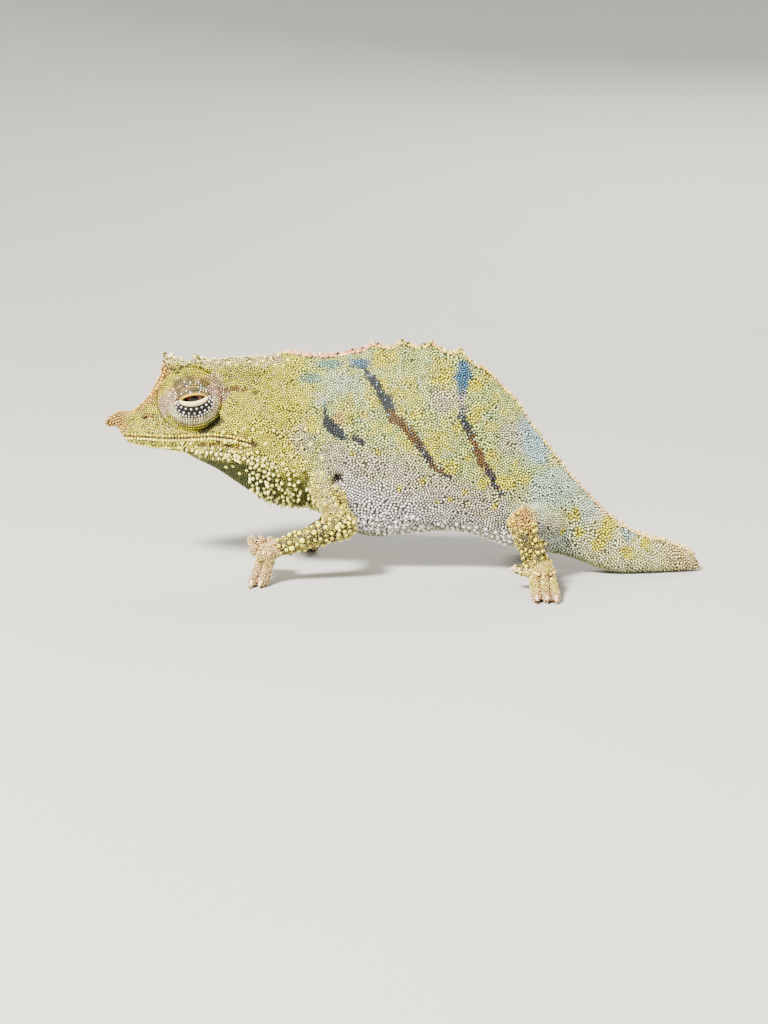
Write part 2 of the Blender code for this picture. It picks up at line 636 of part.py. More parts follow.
def build_head():
    """Head, lower jaw, snout horn, eye turrets and eyes. Returns the tubercles that stand on the neck."""
    rng = random.Random(HEAD_SEED)
    head = body_length("head", SNOUT_X, NAPE_X - GAP / 2, HEAD_PITCH)
    jaw = duplicate(head, "lower_jaw")
    combine(jaw, [mouth_prism("jaw_space", GAP / 2)], "INTERSECT")
    combine(head, [mouth_prism("mouth_space", -GAP / 2)], "DIFFERENCE")

    for_jaw, for_head, for_neck = sort_by_cut(jaw_places() + throat_places())
    jaw_pieces, head_pieces, neck_pieces = [], [], []
    for side in SIDES.values():
        jaw_pieces += spines_along(for_jaw, rng, side) + [lip(side, -1)]
        head_pieces += spines_along(for_head, rng, side) + brow_spines(side) + [lip(side, 1)]
        neck_pieces += spines_along(for_neck, rng, side)
    combine(jaw, jaw_pieces, "UNION")
    combine(head, head_pieces, "UNION")

    socket_radii = [r + GAP for r in TURRET_RADII]
    nostril_radii = (NOSTRIL_RADIUS * 1.3, NOSTRIL_RADIUS, NOSTRIL_RADIUS)
    hollows = []
    for side in SIDES.values():
        hollows.append(ellipsoid("socket", (EYE_X, side * EYE_Y, EYE_Z), socket_radii, 10, 20))
        hollows.append(ellipsoid("nostril", (NOSTRIL[0], side * NOSTRIL[1], NOSTRIL[2]), nostril_radii, 6, 8))
    combine(head, [leaning(hollow) for hollow in hollows], "DIFFERENCE")

    horn = tube("snout_horn", [(x, 0, z) for x, z in SNOUT_HORN], SNOUT_HORN_RADII, sides=10, flat=0.8)
    snout = body_length("clearance", SNOUT_X - GAP, HORN_CLEAR_TO_X, HEAD_PITCH, grown=GAP)
    combine(leaning(horn), [snout], "DIFFERENCE")

    for word, side in SIDES.items():
        turret = ellipsoid(f"eye_turret_{word}", (EYE_X, side * EYE_Y, EYE_Z), TURRET_RADII, 10, 20)
        combine(turret, [lid_rim(side)], "UNION")
        room = BALL_RADIUS + GAP
        cavity = ellipsoid("cavity", (GAZE_X, side * BALL_Y, GAZE_Z), (room, room, room), 8, 14)
        slit = ellipsoid("slit", (0, 0, 0), SLIT_RADII, 8, 14)
        turn = Matrix.Rotation(-SLIT_TILT, 4, "Y")
        slit.data.transform(Matrix.Translation((GAZE_X, side * (EYE_Y + TURRET_RADII[1]), GAZE_Z)) @ turn)
        combine(turret, [cavity, slit], "DIFFERENCE")
        leaning(turret)
        leaning(ellipsoid(f"eye_{word}", (GAZE_X, side * BALL_Y, GAZE_Z), (BALL_RADIUS,) * 3, 8, 14))
    return neck_pieces


def build_body(neck_pieces):
    """Neck, torso and the two lengths of tail, each laid flat where it meets the floor."""
    neck = body_length("neck", NAPE_X + GAP / 2, SHOULDER_X - GAP / 2, BODY_PITCH)
    combine(neck, neck_pieces, "UNION")
    torso = body_length("torso", SHOULDER_X + GAP / 2, VENT_X - GAP / 2, BODY_PITCH)
    thorns = [spine(*on_surface(*SHOULDER_THORN, side), *THORN_SIZE) for side in SIDES.values()]
    combine(torso, thorns, "UNION")
    for name, start, end in (
        ("tail_root", VENT_X + GAP / 2, MID_TAIL_X - GAP / 2),
        ("tail_end", MID_TAIL_X + GAP / 2, TAIL_X),
    ):
        tail = body_length(name, start, end, TAIL_PITCH)
        combine(tail, [floor_cutter()], "DIFFERENCE")


def floor_cutter():
    return box("floor_space", (-FLOOR_REACH, -FLOOR_REACH, -FLOOR_DEPTH), (FLOOR_REACH, FLOOR_REACH, 0))


def on_side(point, side, shift=(0.0, 0.0)):
    """A place given for the left, moved by shift and set on its side of the body."""
    return Vector((point[0] + shift[0], side * (point[1] + shift[1]), point[2]))


def flattened(bundle, share):
    """The same bundle of toes at only a share of its height."""
    return {**bundle, "path": [(x, y, z * share) for x, y, z in bundle["path"]]}


def toe_pieces(bundle, side, shift):
    """The toes of one bundle, grown together at the root, each with its own claw."""
    path = [on_side(p, side, shift) for p in bundle["path"]]
    spread = on_side(bundle["spread"], side)
    made = []
    for k in range(bundle["toes"]):
        offset = (k - (bundle["toes"] - 1) / 2) * TOE_PITCH
        fans = [1 + (TOE_FAN - 1) * i / (len(path) - 1) for i in range(len(path))]
        toe = [p + spread * offset * fan for p, fan in zip(path, fans)]
        made.append(tube("toe", toe, TOE_RADII, sides=6, per_span=2))
        heading = (toe[-1] - toe[-2]).normalized()
        root = toe[-1] + Vector((0, 0, CLAW_LIFT))
        made.append(spine(root, heading, CLAW_RADIUS, CLAW_LENGTH, sunk=0.2, tip=0.2))
    return made


def limb_spines(start, end, radii, count, rng, side):
    """Tubercles in a spiral round the outer side of a limb from start to end."""
    along = (end - start).normalized()
    out = Vector((0, side, 0))
    out = (out - along * out.dot(along)).normalized()
    other = along.cross(out)
    made = []
    for k in range(count):
        t = (k + 0.5) / count
        angle = LIMB_SPREAD * (2 * ((k * GOLDEN_SHARE) % 1.0) - 1)
        facing = out * math.cos(angle) + other * math.sin(angle)
        depth = radii[0] * (1 - t) + radii[1] * t - LIMB_TUBERCLE_SUNK
        length = LIMB_TUBERCLE_LENGTH * rng.uniform(0.8, 1.25)
        made.append(spine(start.lerp(end, t) + facing * depth, facing, LIMB_TUBERCLE_RADIUS, length))
    return made


def build_limb(places, radii, names, spine_counts, bundles, side, shift, seed):
    """One leg as three nodes: two lengths that meet in a round joint, and the foot with its toes."""
    rng = random.Random(seed)
    joints = [on_side(p, side) for p in places]
    before = (joints[ELBOW] - joints[ELBOW - 1]).normalized()
    after = (joints[ELBOW + 1] - joints[ELBOW]).normalized()
    mitre = (before + after).normalized()
    limbs = []
    for name, first, last, end, count in (
        (names[0], 0, ELBOW, -1, spine_counts[0]),
        (names[1], ELBOW, len(joints) - 1, 1, spine_counts[1]),
    ):
        limb = tube(name, joints[first : last + 1], radii[first : last + 1], sides=12)
        ball = ellipsoid("ball", joints[ELBOW], (radii[ELBOW],) * 3, 8, 12)
        a, b = (1, ELBOW) if end == -1 else (ELBOW, WRIST)
        pieces = limb_spines(joints[a], joints[b], (radii[a], radii[b]), count, rng, side)
        combine(limb, [ball] + pieces, "UNION")
        limbs.append(keep_side(limb, joints[ELBOW] + mitre * end * GAP / 2, mitre * end))
    upper, lower = limbs
    combine(upper, [body_length("clearance", *LIMB_CLEAR_X, BODY_PITCH, grown=GAP)], "DIFFERENCE")
    past_wrist = (joints[WRIST] - joints[WRIST - 1]).normalized()
    foot = duplicate(lower, names[2])
    toes = [piece for bundle in bundles for piece in toe_pieces(bundle, side, shift)]
    combine(foot, toes, "UNION")
    keep_side(foot, joints[WRIST] + past_wrist * GAP / 2, past_wrist)
    keep_side(lower, joints[WRIST] - past_wrist * GAP / 2, -past_wrist)
    combine(foot, [floor_cutter()], "DIFFERENCE")


def build_limbs():
    """Four legs. The right hand lies flatter than the left."""
    outer_toes, inner_toes = HAND_BUNDLES
    right_hand = (flattened(outer_toes, RIGHT_OUTER_HEIGHT), flattened(inner_toes, RIGHT_INNER_HEIGHT))
    arms = {"left": (LEFT_ARM, HAND_BUNDLES, (0.0, 0.0)), "right": (RIGHT_ARM, right_hand, RIGHT_HAND_SHIFT)}
    legs = {"left": (LEFT_LEG, (0.0, 0.0)), "right": (RIGHT_LEG, RIGHT_FOOT_SHIFT)}
    for word, side in SIDES.items():
        places, bundles, shift = arms[word]
        names = [f"upper_arm_{word}", f"forearm_{word}", f"hand_{word}"]
        build_limb(places, ARM_RADII, names, ARM_SPINES, bundles, side, shift, ARM_SEED)
        places, shift = legs[word]
        names = [f"thigh_{word}", f"shank_{word}", f"foot_{word}"]
        build_limb(places, LEG_RADII, names, LEG_SPINES, FOOT_BUNDLES, side, shift, LEG_SEED)


def centre_of_footprint(nodes):
    """The middle of the whole animal in plan, on the floor."""
    corners = [v.co for node in nodes for v in node.data.vertices]
    middle = [(min(c[i] for c in corners) + max(c[i] for c in corners)) / 2 for i in range(2)]
    return Vector((*middle, 0.0))


def finish(collection):
    """Gathers the nodes with the origin under their middle, gives each its skin and shades it smooth."""
    nodes = list(bpy.context.scene.collection.objects)
    to_origin = Matrix.Scale(MM, 4) @ Matrix.Translation(-centre_of_footprint(nodes))
    for obj in nodes:
        bpy.context.scene.collection.objects.unlink(obj)
        collection.objects.link(obj)
        label, colour, roughness = next(s[1:] for s in SKINS if obj.name.startswith(s[0]))
        skin = bpy.data.materials.get(label)
        if skin is None:
            skin = bpy.data.materials.new(label)
            skin.use_nodes = True
            shader = skin.node_tree.nodes["Principled BSDF"]
            shader.inputs["Base Color"].default_value = (*colour, 1.0)
            shader.inputs["Roughness"].default_value = roughness
        obj.data.transform(to_origin)
        obj.data.materials.clear()
        obj.data.materials.append(skin)
        obj.data.shade_smooth()
        obj.data.set_sharp_from_angle(angle=math.radians(40))


def main():
    for obj in list(bpy.data.objects):
        bpy.data.objects.remove(obj)
    collection = bpy.data.collections.new("pygmy_chameleon")
    bpy.context.scene.collection.children.link(collection)
    neck_pieces = build_head()
    build_body(neck_pieces)
    build_limbs()
    finish(collection)


main()
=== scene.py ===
"""A life-size pygmy chameleon with its skin, scales, eyes and claws.

The frame is in metres, with the head to -X, the left flank to -Y and the back to +Z. Skin and scales
are worked out in millimetres and scaled when they are put in place.
"""

import math

import bmesh
import bpy
import numpy as np
from mathutils import Matrix, Vector
from mathutils.bvhtree import BVHTree
from mathutils.kdtree import KDTree


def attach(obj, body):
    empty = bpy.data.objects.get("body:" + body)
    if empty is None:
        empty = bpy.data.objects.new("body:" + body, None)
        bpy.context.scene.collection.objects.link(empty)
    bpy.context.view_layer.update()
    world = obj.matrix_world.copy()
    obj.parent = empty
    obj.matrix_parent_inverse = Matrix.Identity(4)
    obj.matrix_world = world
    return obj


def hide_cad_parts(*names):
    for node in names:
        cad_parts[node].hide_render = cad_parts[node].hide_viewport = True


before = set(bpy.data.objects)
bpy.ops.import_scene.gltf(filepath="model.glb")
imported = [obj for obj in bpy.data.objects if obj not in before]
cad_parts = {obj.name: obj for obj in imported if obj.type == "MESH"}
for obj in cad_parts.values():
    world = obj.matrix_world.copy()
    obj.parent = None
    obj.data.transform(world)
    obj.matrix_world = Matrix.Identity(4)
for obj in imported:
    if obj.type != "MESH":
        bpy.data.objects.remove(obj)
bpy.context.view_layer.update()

# The camera looks at the animal's left side from a hand's breadth away and a little above. The long
# side of the picture takes in 110 mm at the animal.
MM = 0.001
AIM = Vector((-2.525, 0.0, 6.2)) * MM
CAMERA_DISTANCE, CAMERA_RISE, CAMERA_ROLL = 160 * MM, math.radians(12), math.radians(1.1)
VIEW_HEIGHT, SENSOR = 109.57 * MM, 36.0

camera = bpy.data.objects.new("camera", bpy.data.cameras.new("camera"))
bpy.context.scene.collection.objects.link(camera)
camera.data.sensor_width = SENSOR
camera.data.lens = SENSOR * CAMERA_DISTANCE / VIEW_HEIGHT
camera.data.clip_start, camera.data.clip_end = 1 * MM, 10.0
back_off = Vector((0, -math.cos(CAMERA_RISE), math.sin(CAMERA_RISE)))
camera.location = AIM + back_off * CAMERA_DISTANCE
level = (-back_off).to_track_quat("-Z", "Y").to_matrix()
camera.rotation_euler = (level @ Matrix.Rotation(CAMERA_ROLL, 3, "Z")).to_euler()
bpy.context.scene.camera = camera


# The floor is one matt sheet of pale card. It lies flat under the animal and curls up all round, so
# that no edge shows from any side. Soft lamps hang over it.
FLOOR_DROP, FLOOR_FLAT, FLOOR_EDGE, FLOOR_RISE = 0.02 * MM, 0.13, 1.2, 0.7
FLOOR_STEPS, FLOOR_SIDES = 14, 96
CARD, CARD_DIM = (0.46, 0.46, 0.445), 0.97


class Wire:
    """A node's output. An operator on it adds the Math node that works it out."""

    def __init__(self, tree, socket=None):
        self.tree, self.socket = tree, socket

    def node(self, kind, settings=None, sockets=None, output=0):
        made = self.tree.nodes.new(kind)
        for name, value in (settings or {}).items():
            setattr(made, name, value)
        for key, value in (sockets or {}).items():
            if isinstance(value, Wire):
                self.tree.links.new(value.socket, made.inputs[key])
            else:
                made.inputs[key].default_value = value
        return Wire(self.tree, made.outputs[output])

    def maths(self, operation, *values):
        return self.node("ShaderNodeMath", {"operation": operation}, dict(enumerate(values)))

    def __add__(self, other):
        return self.maths("ADD", self, other)

    def __mul__(self, other):
        return self.maths("MULTIPLY", self, other)

    __radd__, __rmul__ = __add__, __mul__

    def attribute(self, name, output="Color"):
        """What the piece's mesh holds at each point under a name."""
        return self.node("ShaderNodeAttribute", {"attribute_name": name}, output=output)

    def noise(self, scale, detail=2.0):
        """Blender's noise over the piece's own place in the frame, scale being features a metre."""
        place = self.node("ShaderNodeTexCoord", output="Object")
        return self.node("ShaderNodeTexNoise", sockets={"Vector": place, "Scale": scale, "Detail": detail})

    def mix(self, share, a, b, way="MIX"):
        """Colour a turned towards colour b."""
        return self.node(
            "ShaderNodeMix", {"data_type": "RGBA", "blend_type": way}, {0: share, 6: a, 7: b}, output=2
        )


def new_material(name, **fixed):
    """A material, its shader with the fixed values set, and a wire to start sums from."""
    material = bpy.data.materials.new(name)
    material.use_nodes = True
    shader = material.node_tree.nodes["Principled BSDF"]
    for socket, value in fixed.items():
        shader.inputs[socket.replace("_", " ")].default_value = value
    return material, shader, Wire(material.node_tree)


def feed(shader, **wires):
    """Links wires to the shader's sockets of their names."""
    for socket, wire in wires.items():
        wire.tree.links.new(wire.socket, shader.inputs[socket.replace("_", " ")])


def add_object(name, bm, material):
    """A new smooth object from a bmesh in metres, which it frees."""
    mesh = bpy.data.meshes.new(name)
    bm.to_mesh(mesh)
    bm.free()
    mesh.shade_smooth()
    mesh.materials.append(material)
    obj = bpy.data.objects.new(name, mesh)
    bpy.context.scene.collection.objects.link(obj)
    return obj


def card_height(radius):
    """How far the card has curled up at a radius."""
    return FLOOR_RISE * (max(0.0, radius - FLOOR_FLAT) / (FLOOR_EDGE - FLOOR_FLAT)) ** 2


card, card_shader, wire = new_material("pale_card", Roughness=0.85)
shade = wire.noise(40.0)
feed(card_shader, Base_Color=wire.mix(shade, (*(c * CARD_DIM for c in CARD), 1), (*CARD, 1)))
bm = bmesh.new()
bmesh.ops.create_circle(bm, cap_ends=True, segments=FLOOR_SIDES, radius=FLOOR_FLAT)
for step in range(1, FLOOR_STEPS + 1):
    reach = FLOOR_FLAT + (FLOOR_EDGE - FLOOR_FLAT) * (step / FLOOR_STEPS) ** 1.5
    rim = [e for e in bm.edges if e.is_boundary]
    grown = bmesh.ops.extrude_edge_only(bm, edges=rim)["geom"]
    for v in (g for g in grown if isinstance(g, bmesh.types.BMVert)):
        out = Vector((v.co.x, v.co.y, 0)).normalized() * reach
        v.co = (out.x, out.y, card_height(reach))
bmesh.ops.recalc_face_normals(bm, faces=bm.faces)
bmesh.ops.translate(bm, vec=(0, 0, -FLOOR_DROP), verts=bm.verts)
floor = add_object("card_floor", bm, card)

LAMP_TINT, SKY_TINT, SKY_STRENGTH = (1.0, 0.955, 0.86), (1.0, 0.98, 0.94), 0.45
LAMPS = (
    {"name": "key_lamp", "place": (-0.20, -0.26, 0.34), "size": 0.10, "power": 11.5},
    {"name": "fill_lamp", "place": (0.32, -0.28, 0.16), "size": 0.30, "power": 1.5},
    {"name": "far_lamp", "place": (0.10, 0.36, 0.30), "size": 0.30, "power": 2.4},
)
for lamp in LAMPS:
    light = bpy.data.lights.new(lamp["name"], "AREA")
    light.shape, light.size, light.energy = "DISK", lamp["size"], lamp["power"]
    light.color = LAMP_TINT
    holder = bpy.data.objects.new(lamp["name"], light)
    bpy.context.scene.collection.objects.link(holder)
    holder.location = lamp["place"]
    holder.rotation_euler = (AIM - holder.location).to_track_quat("-Z", "Y").to_euler()
sky = bpy.data.worlds.new("soft_sky")
sky.use_nodes = True
background = sky.node_tree.nodes["Background"]
background.inputs["Color"].default_value = (*SKY_TINT, 1)
background.inputs["Strength"].default_value = SKY_STRENGTH
bpy.context.scene.world = sky


# The skin is one thin hide from horn to tail tip. It is made by drawing the flesh pieces together
# into one surface, smoothing their seams away, and sinking it by the depth of the scales on it.
SEAM_SWELL, HIDE_VOXEL, SCALE_DEPTH, TOE_SINK = 0.22, 0.21, 0.10, 0.13
HIDE_ROUNDS, FORM_ROUNDS, HIP_ROUNDS, SMOOTHING = 6, 2, 16, 0.5
TOE_HEIGHT, HAND_HEIGHT, TOES_OUT = 3.4, 5.0, 3.0
LEFT_HAND_X, RIGHT_HAND_X, RIGHT_HAND_Y = -13.6, -9.3, 3.4
HORN_X, HORN_Z, BROW_X, BROW_Z = -28.6, 14.9, -25.2, 21.2
HIP_BOX = ((12.2, 19.5), (1.2, 6.2), (3.6, 9.4))
PEAK_LOBES = ((-25.05, 22.3, 0.5), (-24.5, 22.2, 0.5), (-22.1, 22.5, 0.45), (-21.4, 22.4, 0.42))
PEAK_OUT = 2.65
SCALLOPS = (-4.1, -1.2, 1.9, 5.2, 7.6, 10.1, 12.0, 13.6)
SCALLOP_HIGH, SCALLOP_HALF = 0.34, 0.42
HORN_LOBES = ((-29.9, 16.3, 0.82), (-30.5, 16.3, 0.80), (-31.1, 16.05, 0.72), (-31.6, 15.8, 0.60))
TOES = {
    "hand": (
        {"path": ((-14.85, 7.3, 1.9), (-15.1, 8.0, 1.0), (-15.33, 8.75, 0.55)),
         "spread": (0.96, 0.1, 0), "count": 2},
        {"path": ((-14.85, 6.2, 3.3), (-15.15, 5.5, 4.05), (-15.33, 4.8, 3.95)),
         "spread": (1, 0.1, 0), "count": 3},
    ),
    "foot": (
        {"path": ((13.7, 10.3, 1.3), (13.75, 11.6, 0.75), (13.78, 12.5, 0.55)),
         "spread": (1, 0, 0), "count": 3},
        {"path": ((13.0, 8.95, 2.0), (12.1, 8.7, 2.15), (11.45, 8.5, 2.15)),
         "spread": (0.5, 0.8, 0), "count": 2},
    ),
}
TOE_SPACING, TOE_STEPS, TOE_RADII = 0.96, 6, (0.42, 0.38)
SET_BACK = {"hand": (4.3, -0.7), "foot": (1.3, 0.0)}
RIGHT_HAND_HEIGHTS = (0.8, 0.6)
LEFT, RIGHT = -1, 1
HEAD_LEAN, LEAN_FULL_X, LEAN_ENDS_X = math.radians(-8), -16.8, -7.5
EYE_CENTRE = np.array((-22.625, -2.95, 18.4))


def soft(value, low, high):
    """0 where value is under low, 1 over high, and smooth between, or the other way round."""
    t = np.clip((value - low) / (high - low), 0, 1)
    return t * t * (3 - 2 * t)


def mottle(points, size, seed):
    """Cloudy values between 0 and 1 that change over size. The long numbers only scramble the cells."""
    place = points / size
    cell = np.floor(place).astype(np.int64)
    part = place - cell
    part = part * part * (3 - 2 * part)
    total = np.zeros(len(points))
    for corner in range(8):
        step = np.array([corner >> axis & 1 for axis in range(3)])
        at = cell + step
        mixed = at[:, 0] * 73856093 ^ at[:, 1] * 19349663 ^ at[:, 2] * 83492791 ^ seed * 6542989
        mixed = (mixed ^ mixed >> 13) * 1274126177 & 0xFFFFFFFF
        share = np.prod(np.where(step, part, 1 - part), axis=1)
        total += share * ((mixed ^ mixed >> 15) & 0xFFFF) / 0xFFFF
    return total


def turned(points, way):
    """Points turned with the head's lean where way is 1, and stood upright again where it is -1."""
    angle = way * HEAD_LEAN * (1 - soft(points[:, 0], LEAN_FULL_X, LEAN_ENDS_X))
    y, z = (points - EYE_CENTRE)[:, 1:].T
    turned_y = y * np.cos(angle) - z * np.sin(angle)
    turned_z = y * np.sin(angle) + z * np.cos(angle)
    return np.column_stack((points[:, 0], turned_y, turned_z)) + (0, *EYE_CENTRE[1:])


def near_path(x, z, path):
    """Distance of each (x, z) to a line through the path's points, and how far along it is, 0 to 1."""
    best = np.full(len(x), 1e9)
    along = np.zeros(len(x))
    for k, (a, b) in enumerate(zip(path, path[1:])):
        run = np.subtract(b, a)
        t = np.clip(((x - a[0]) * run[0] + (z - a[1]) * run[1]) / (run @ run), 0, 1)
        away = np.hypot(x - a[0] - t * run[0], z - a[1] - t * run[1])
        closer = away < best
        best = np.where(closer, away, best)
        along = np.where(closer, (k + t) / (len(path) - 1), along)
    return best, along


# Lines and marks are given on the upright animal as (x, z) in millimetres, alike on both sides.
MOUTH = (
    (-31, 14.4), (-27.5, 14.35), (-25, 14.25), (-22, 14.4), (-20.3, 14.55), (-18.5, 14.4), (-16.0, 13.8)
)
GAPE = MOUTH[4:]
FOLD = ((-21.5, 14.95), (-20.9, 15.3), (-20.0, 15.9), (-19.6, 16.3))
TEMPLE = ((-19.2, 19.35), (-17.8, 19.55), (-16.9, 19.35))
JAW_EDGE = (
    (-29.5, 13.75), (-26, 13.3), (-23.5, 13.3), (-21.1, 12.9), (-18.3, 12.6), (-15.8, 12.3), (-13.5, 11.4)
)
JAW_FOLD = ((-21.9, 13.6), (-19.5, 13.75), (-17.0, 13.35))
SNOUT_RIDGE = ((-29.4, 17.2), (-28.2, 17.8), (-27.0, 18.8), (-26.1, 20.0), (-25.5, 21.5))
# Grooves have a width and a depth, pits a radius and a depth, and spots a radius.
GROOVES = (
    (MOUTH, 0.22, 0.16), (GAPE, 0.3, 0.22), (FOLD, 0.3, 0.3), (TEMPLE, 0.2, 0.12), (JAW_FOLD, 0.24, 0.24)
)
PITS = ((-27.3, 16.4, 0.45, 0.35), (-27.85, 16.1, 0.3, 0.2), (-7.4, 10.5, 1.0, 1.0))
YELLOW_SPOTS = (
    (-3.7, 18.4, 0.6), (0.4, 17.5, 0.62), (4.8, 16.1, 0.5), (2.0, 14.4, 0.65), (-3.4, 13.4, 0.33),
    (-5.9, 13.2, 0.3), (4.3, 12.0, 0.72), (1.4, 10.5, 0.45), (6.0, 13.0, 0.45), (8.4, 13.2, 0.6),
    (7.7, 10.3, 0.6), (10.0, 10.5, 0.85), (12.1, 10.6, 0.5), (10.9, 12.4, 0.3), (6.6, 17.2, 0.6),
    (6.8, 20.2, 0.7), (2.6, 20.7, 0.5), (-0.1, 14.0, 0.45), (-1.0, 9.6, 0.3), (2.9, 8.3, 0.3),
    (4.3, 8.6, 0.25), (5.9, 9.4, 0.32), (-2.2, 15.9, 0.45), (-4.6, 17.1, 0.4), (-10.0, 15.9, 0.7),
    (-11.4, 18.0, 0.9), (-2.8, 20.2, 0.6), (-1.3, 19.2, 0.6), (8.9, 7.8, 0.3), (4.0, 14.0, 0.25),
    (3.6, 21.2, 0.7), (-3.3, 22.6, 0.8), (-1.9, 22.9, 0.6), (11.8, 18.0, 0.6), (21.5, 5.6, 0.9),
    (20.9, 4.5, 0.8), (20.3, 3.4, 0.7), (17.6, 6.7, 0.6), (18.2, 4.9, 0.5), (16.2, 5.2, 0.4),
    (23.5, 2.6, 0.7), (25.6, 3.4, 0.6),
)
YELLOW, OLIVE, HEAD_YELLOW = (0.97, 0.86, 0.0), (0.44, 0.42, 0.0), (0.90, 0.83, 0.005)
SAGE, TURQUOISE, BLUE = (0.66, 0.76, 0.22), (0.12, 0.42, 0.42), (0.04, 0.18, 0.36)
BLUE_BLACK, BROWN, PURPLE_BLACK = (0.014, 0.026, 0.050), (0.20, 0.080, 0.004), (0.050, 0.036, 0.070)
LILAC_GREY, LILAC_WHITE, CREAM = (0.74, 0.66, 0.54), (1.0, 0.94, 0.92), (1.0, 0.90, 0.30)
PALE_BLUE, PALE_TURQUOISE, THROAT_OLIVE_AND_SHADE = (0.50, 0.78, 0.94), (0.68, 0.95, 0.76), (0.04, 0.06, 0.002)
TAIL_CREAM, TAN, PINK = (0.98, 0.98, 0.30), (0.80, 0.46, 0.07), (0.90, 0.54, 0.44)
TAIL_TIP, DARK, RUST = (0.92, 0.66, 0.26), (0.03, 0.018, 0.010), (0.42, 0.10, 0.05)
LIP_YELLOW, WHITE_FLECK = (0.88, 0.72, 0.06), (0.95, 0.95, 0.90)
# Dark lines along the mouth, its gape, the fold behind it and the jaw's fold are painted shade in those
# creases; the brown line at the temple is the animal's own mark.
CREASE_SHADE_AND_LINES = (
    (FOLD, DARK, 0.26), (TEMPLE, BROWN, 0.16), (GAPE, DARK, 0.2), (MOUTH, BROWN, 0.12),
    (JAW_FOLD, BROWN, 0.11),
)
# Where the neck's colour ends along x, where those of the hind part, tail and tip set in, and where the
# brow's sets in along z, each from its first trace to full
NECK_TO, HIND, TAIL, TIP, BROW_BAND = (-13.0, -8.5), (8.5, 13.0), (16.0, 20.5), (26.0, 29.5), (21.7, 22.2)
LILAC_Z, LILAC_SLOPE, LILAC_X, BELLY_DROP = 14.2, 0.33, -6, 3.2
# Patches are a colour, its strength, x, z, half the width and half the height.
PATCHES = (
    (TURQUOISE, 0.8, -8.7, 21.9, 1.5, 0.6), (TURQUOISE, 0.7, -10.6, 20.6, 1.3, 0.5),
    (PALE_TURQUOISE, 0.5, -7.2, 20.2, 2.2, 1.3), (LILAC_GREY, 0.6, -10.8, 14.6, 1.2, 1.8),
    (PALE_BLUE, 0.85, 12.8, 15.3, 1.7, 1.9), (PALE_BLUE, 0.75, 13.9, 13.4, 1.5, 1.4),
    (PALE_TURQUOISE, 0.85, 15.6, 9.7, 2.8, 2.2), (PALE_TURQUOISE, 0.7, 19.0, 7.4, 1.6, 1.4),
    (LILAC_GREY, 0.6, 10.6, 14.8, 1.5, 2.0), (HEAD_YELLOW, 0.6, 15.5, 12.4, 1.2, 0.9),
    (BLUE, 0.8, -5.4, 22.3, 1.15, 0.6), (BLUE, 0.75, 5.4, 21.3, 1.05, 1.15),
    (LILAC_GREY, 0.7, 3.6, 18.8, 1.7, 1.3), (LILAC_GREY, 0.6, -7.6, 12.6, 1.6, 1.6),
    (PALE_BLUE, 0.7, 23.7, 4.3, 0.9, 0.7), (OLIVE, 0.8, -17.2, 21.0, 2.2, 0.9),
    (YELLOW, 0.6, -16.8, 15.9, 3.2, 2.2), (PINK, 0.8, -25.4, 17.6, 0.8, 1.3),
    (PINK, 0.85, -19.4, 18.9, 0.9, 1.0), (PINK, 0.7, -20.2, 20.4, 0.9, 0.8),
    (LIP_YELLOW, 0.6, -25.5, 15.4, 2.6, 0.6),
    (DARK, 0.95, -24.7, 21.35, 0.34, 0.3), (DARK, 0.95, -23.9, 21.45, 0.32, 0.28),
    (DARK, 0.85, -15.9, 19.0, 0.26, 0.24), (BROWN, 0.8, -27.3, 16.4, 0.4, 0.36),
    # The dark patch on the small pit at (-27.85, 16.1) is painted shade in that hollow.
    (RUST, 0.8, -27.15, 16.6, 0.42, 0.34), (DARK, 0.9, -27.85, 16.1, 0.3, 0.26),
    (TAN, 0.8, -7.4, 16.6, 0.7, 0.5), (WHITE_FLECK, 0.7, -9.2, 18.5, 0.7, 0.6),
    # The last patch is painted shade in the pit behind the shoulder.
    (DARK, 0.98, -7.4, 10.5, 0.72, 0.56),
)
# Each streak is its stops, as x, z, half the width and the colour.
STREAKS = (
    ((-9.0, 18.3, 0.08, TURQUOISE), (-8.75, 17.3, 0.14, BLUE_BLACK), (-8.65, 16.4, 0.34, BLUE_BLACK),
     (-7.9, 15.6, 0.58, BLUE_BLACK), (-6.9, 15.0, 0.36, BLUE_BLACK)),
    ((-5.7, 14.9, 0.34, BLUE_BLACK), (-5.0, 14.3, 0.30, PURPLE_BLACK)),
    ((-5.3, 22.3, 0.35, BLUE), (-4.7, 21.5, 0.26, BLUE_BLACK), (-4.1, 20.8, 0.24, BLUE_BLACK),
     (-3.4, 19.9, 0.38, BLUE_BLACK), (-2.3, 18.1, 0.60, BLUE_BLACK), (-1.8, 16.9, 0.42, BROWN),
     (-0.4, 16.0, 0.36, BROWN), (0.6, 14.9, 0.42, BROWN), (1.4, 13.7, 0.40, PURPLE_BLACK),
     (1.9, 12.9, 0.28, PURPLE_BLACK), (2.7, 12.0, 0.22, BROWN), (4.1, 10.9, 0.16, PURPLE_BLACK)),
    ((5.3, 22.1, 0.5, BLUE), (5.4, 21.2, 0.6, BLUE), (5.3, 20.0, 0.42, BLUE), (5.2, 18.5, 0.30, LILAC_GREY),
     (5.3, 17.3, 0.34, BLUE_BLACK), (5.9, 16.1, 0.36, BLUE_BLACK), (6.4, 15.1, 0.28, BROWN),
     (6.9, 13.8, 0.34, BROWN), (7.5, 12.7, 0.30, BROWN), (8.2, 11.4, 0.32, PURPLE_BLACK),
     (9.6, 9.3, 0.26, PURPLE_BLACK)),
)


def blend(colour, other, share):
    """Rows of colours turned towards another colour, each by its own share."""
    return colour + (np.array(other) - colour) * np.reshape(share, (-1, 1))


def plain(tint, count):
    """Rows of one colour."""
    return np.tile(np.array(tint, float), (count, 1))


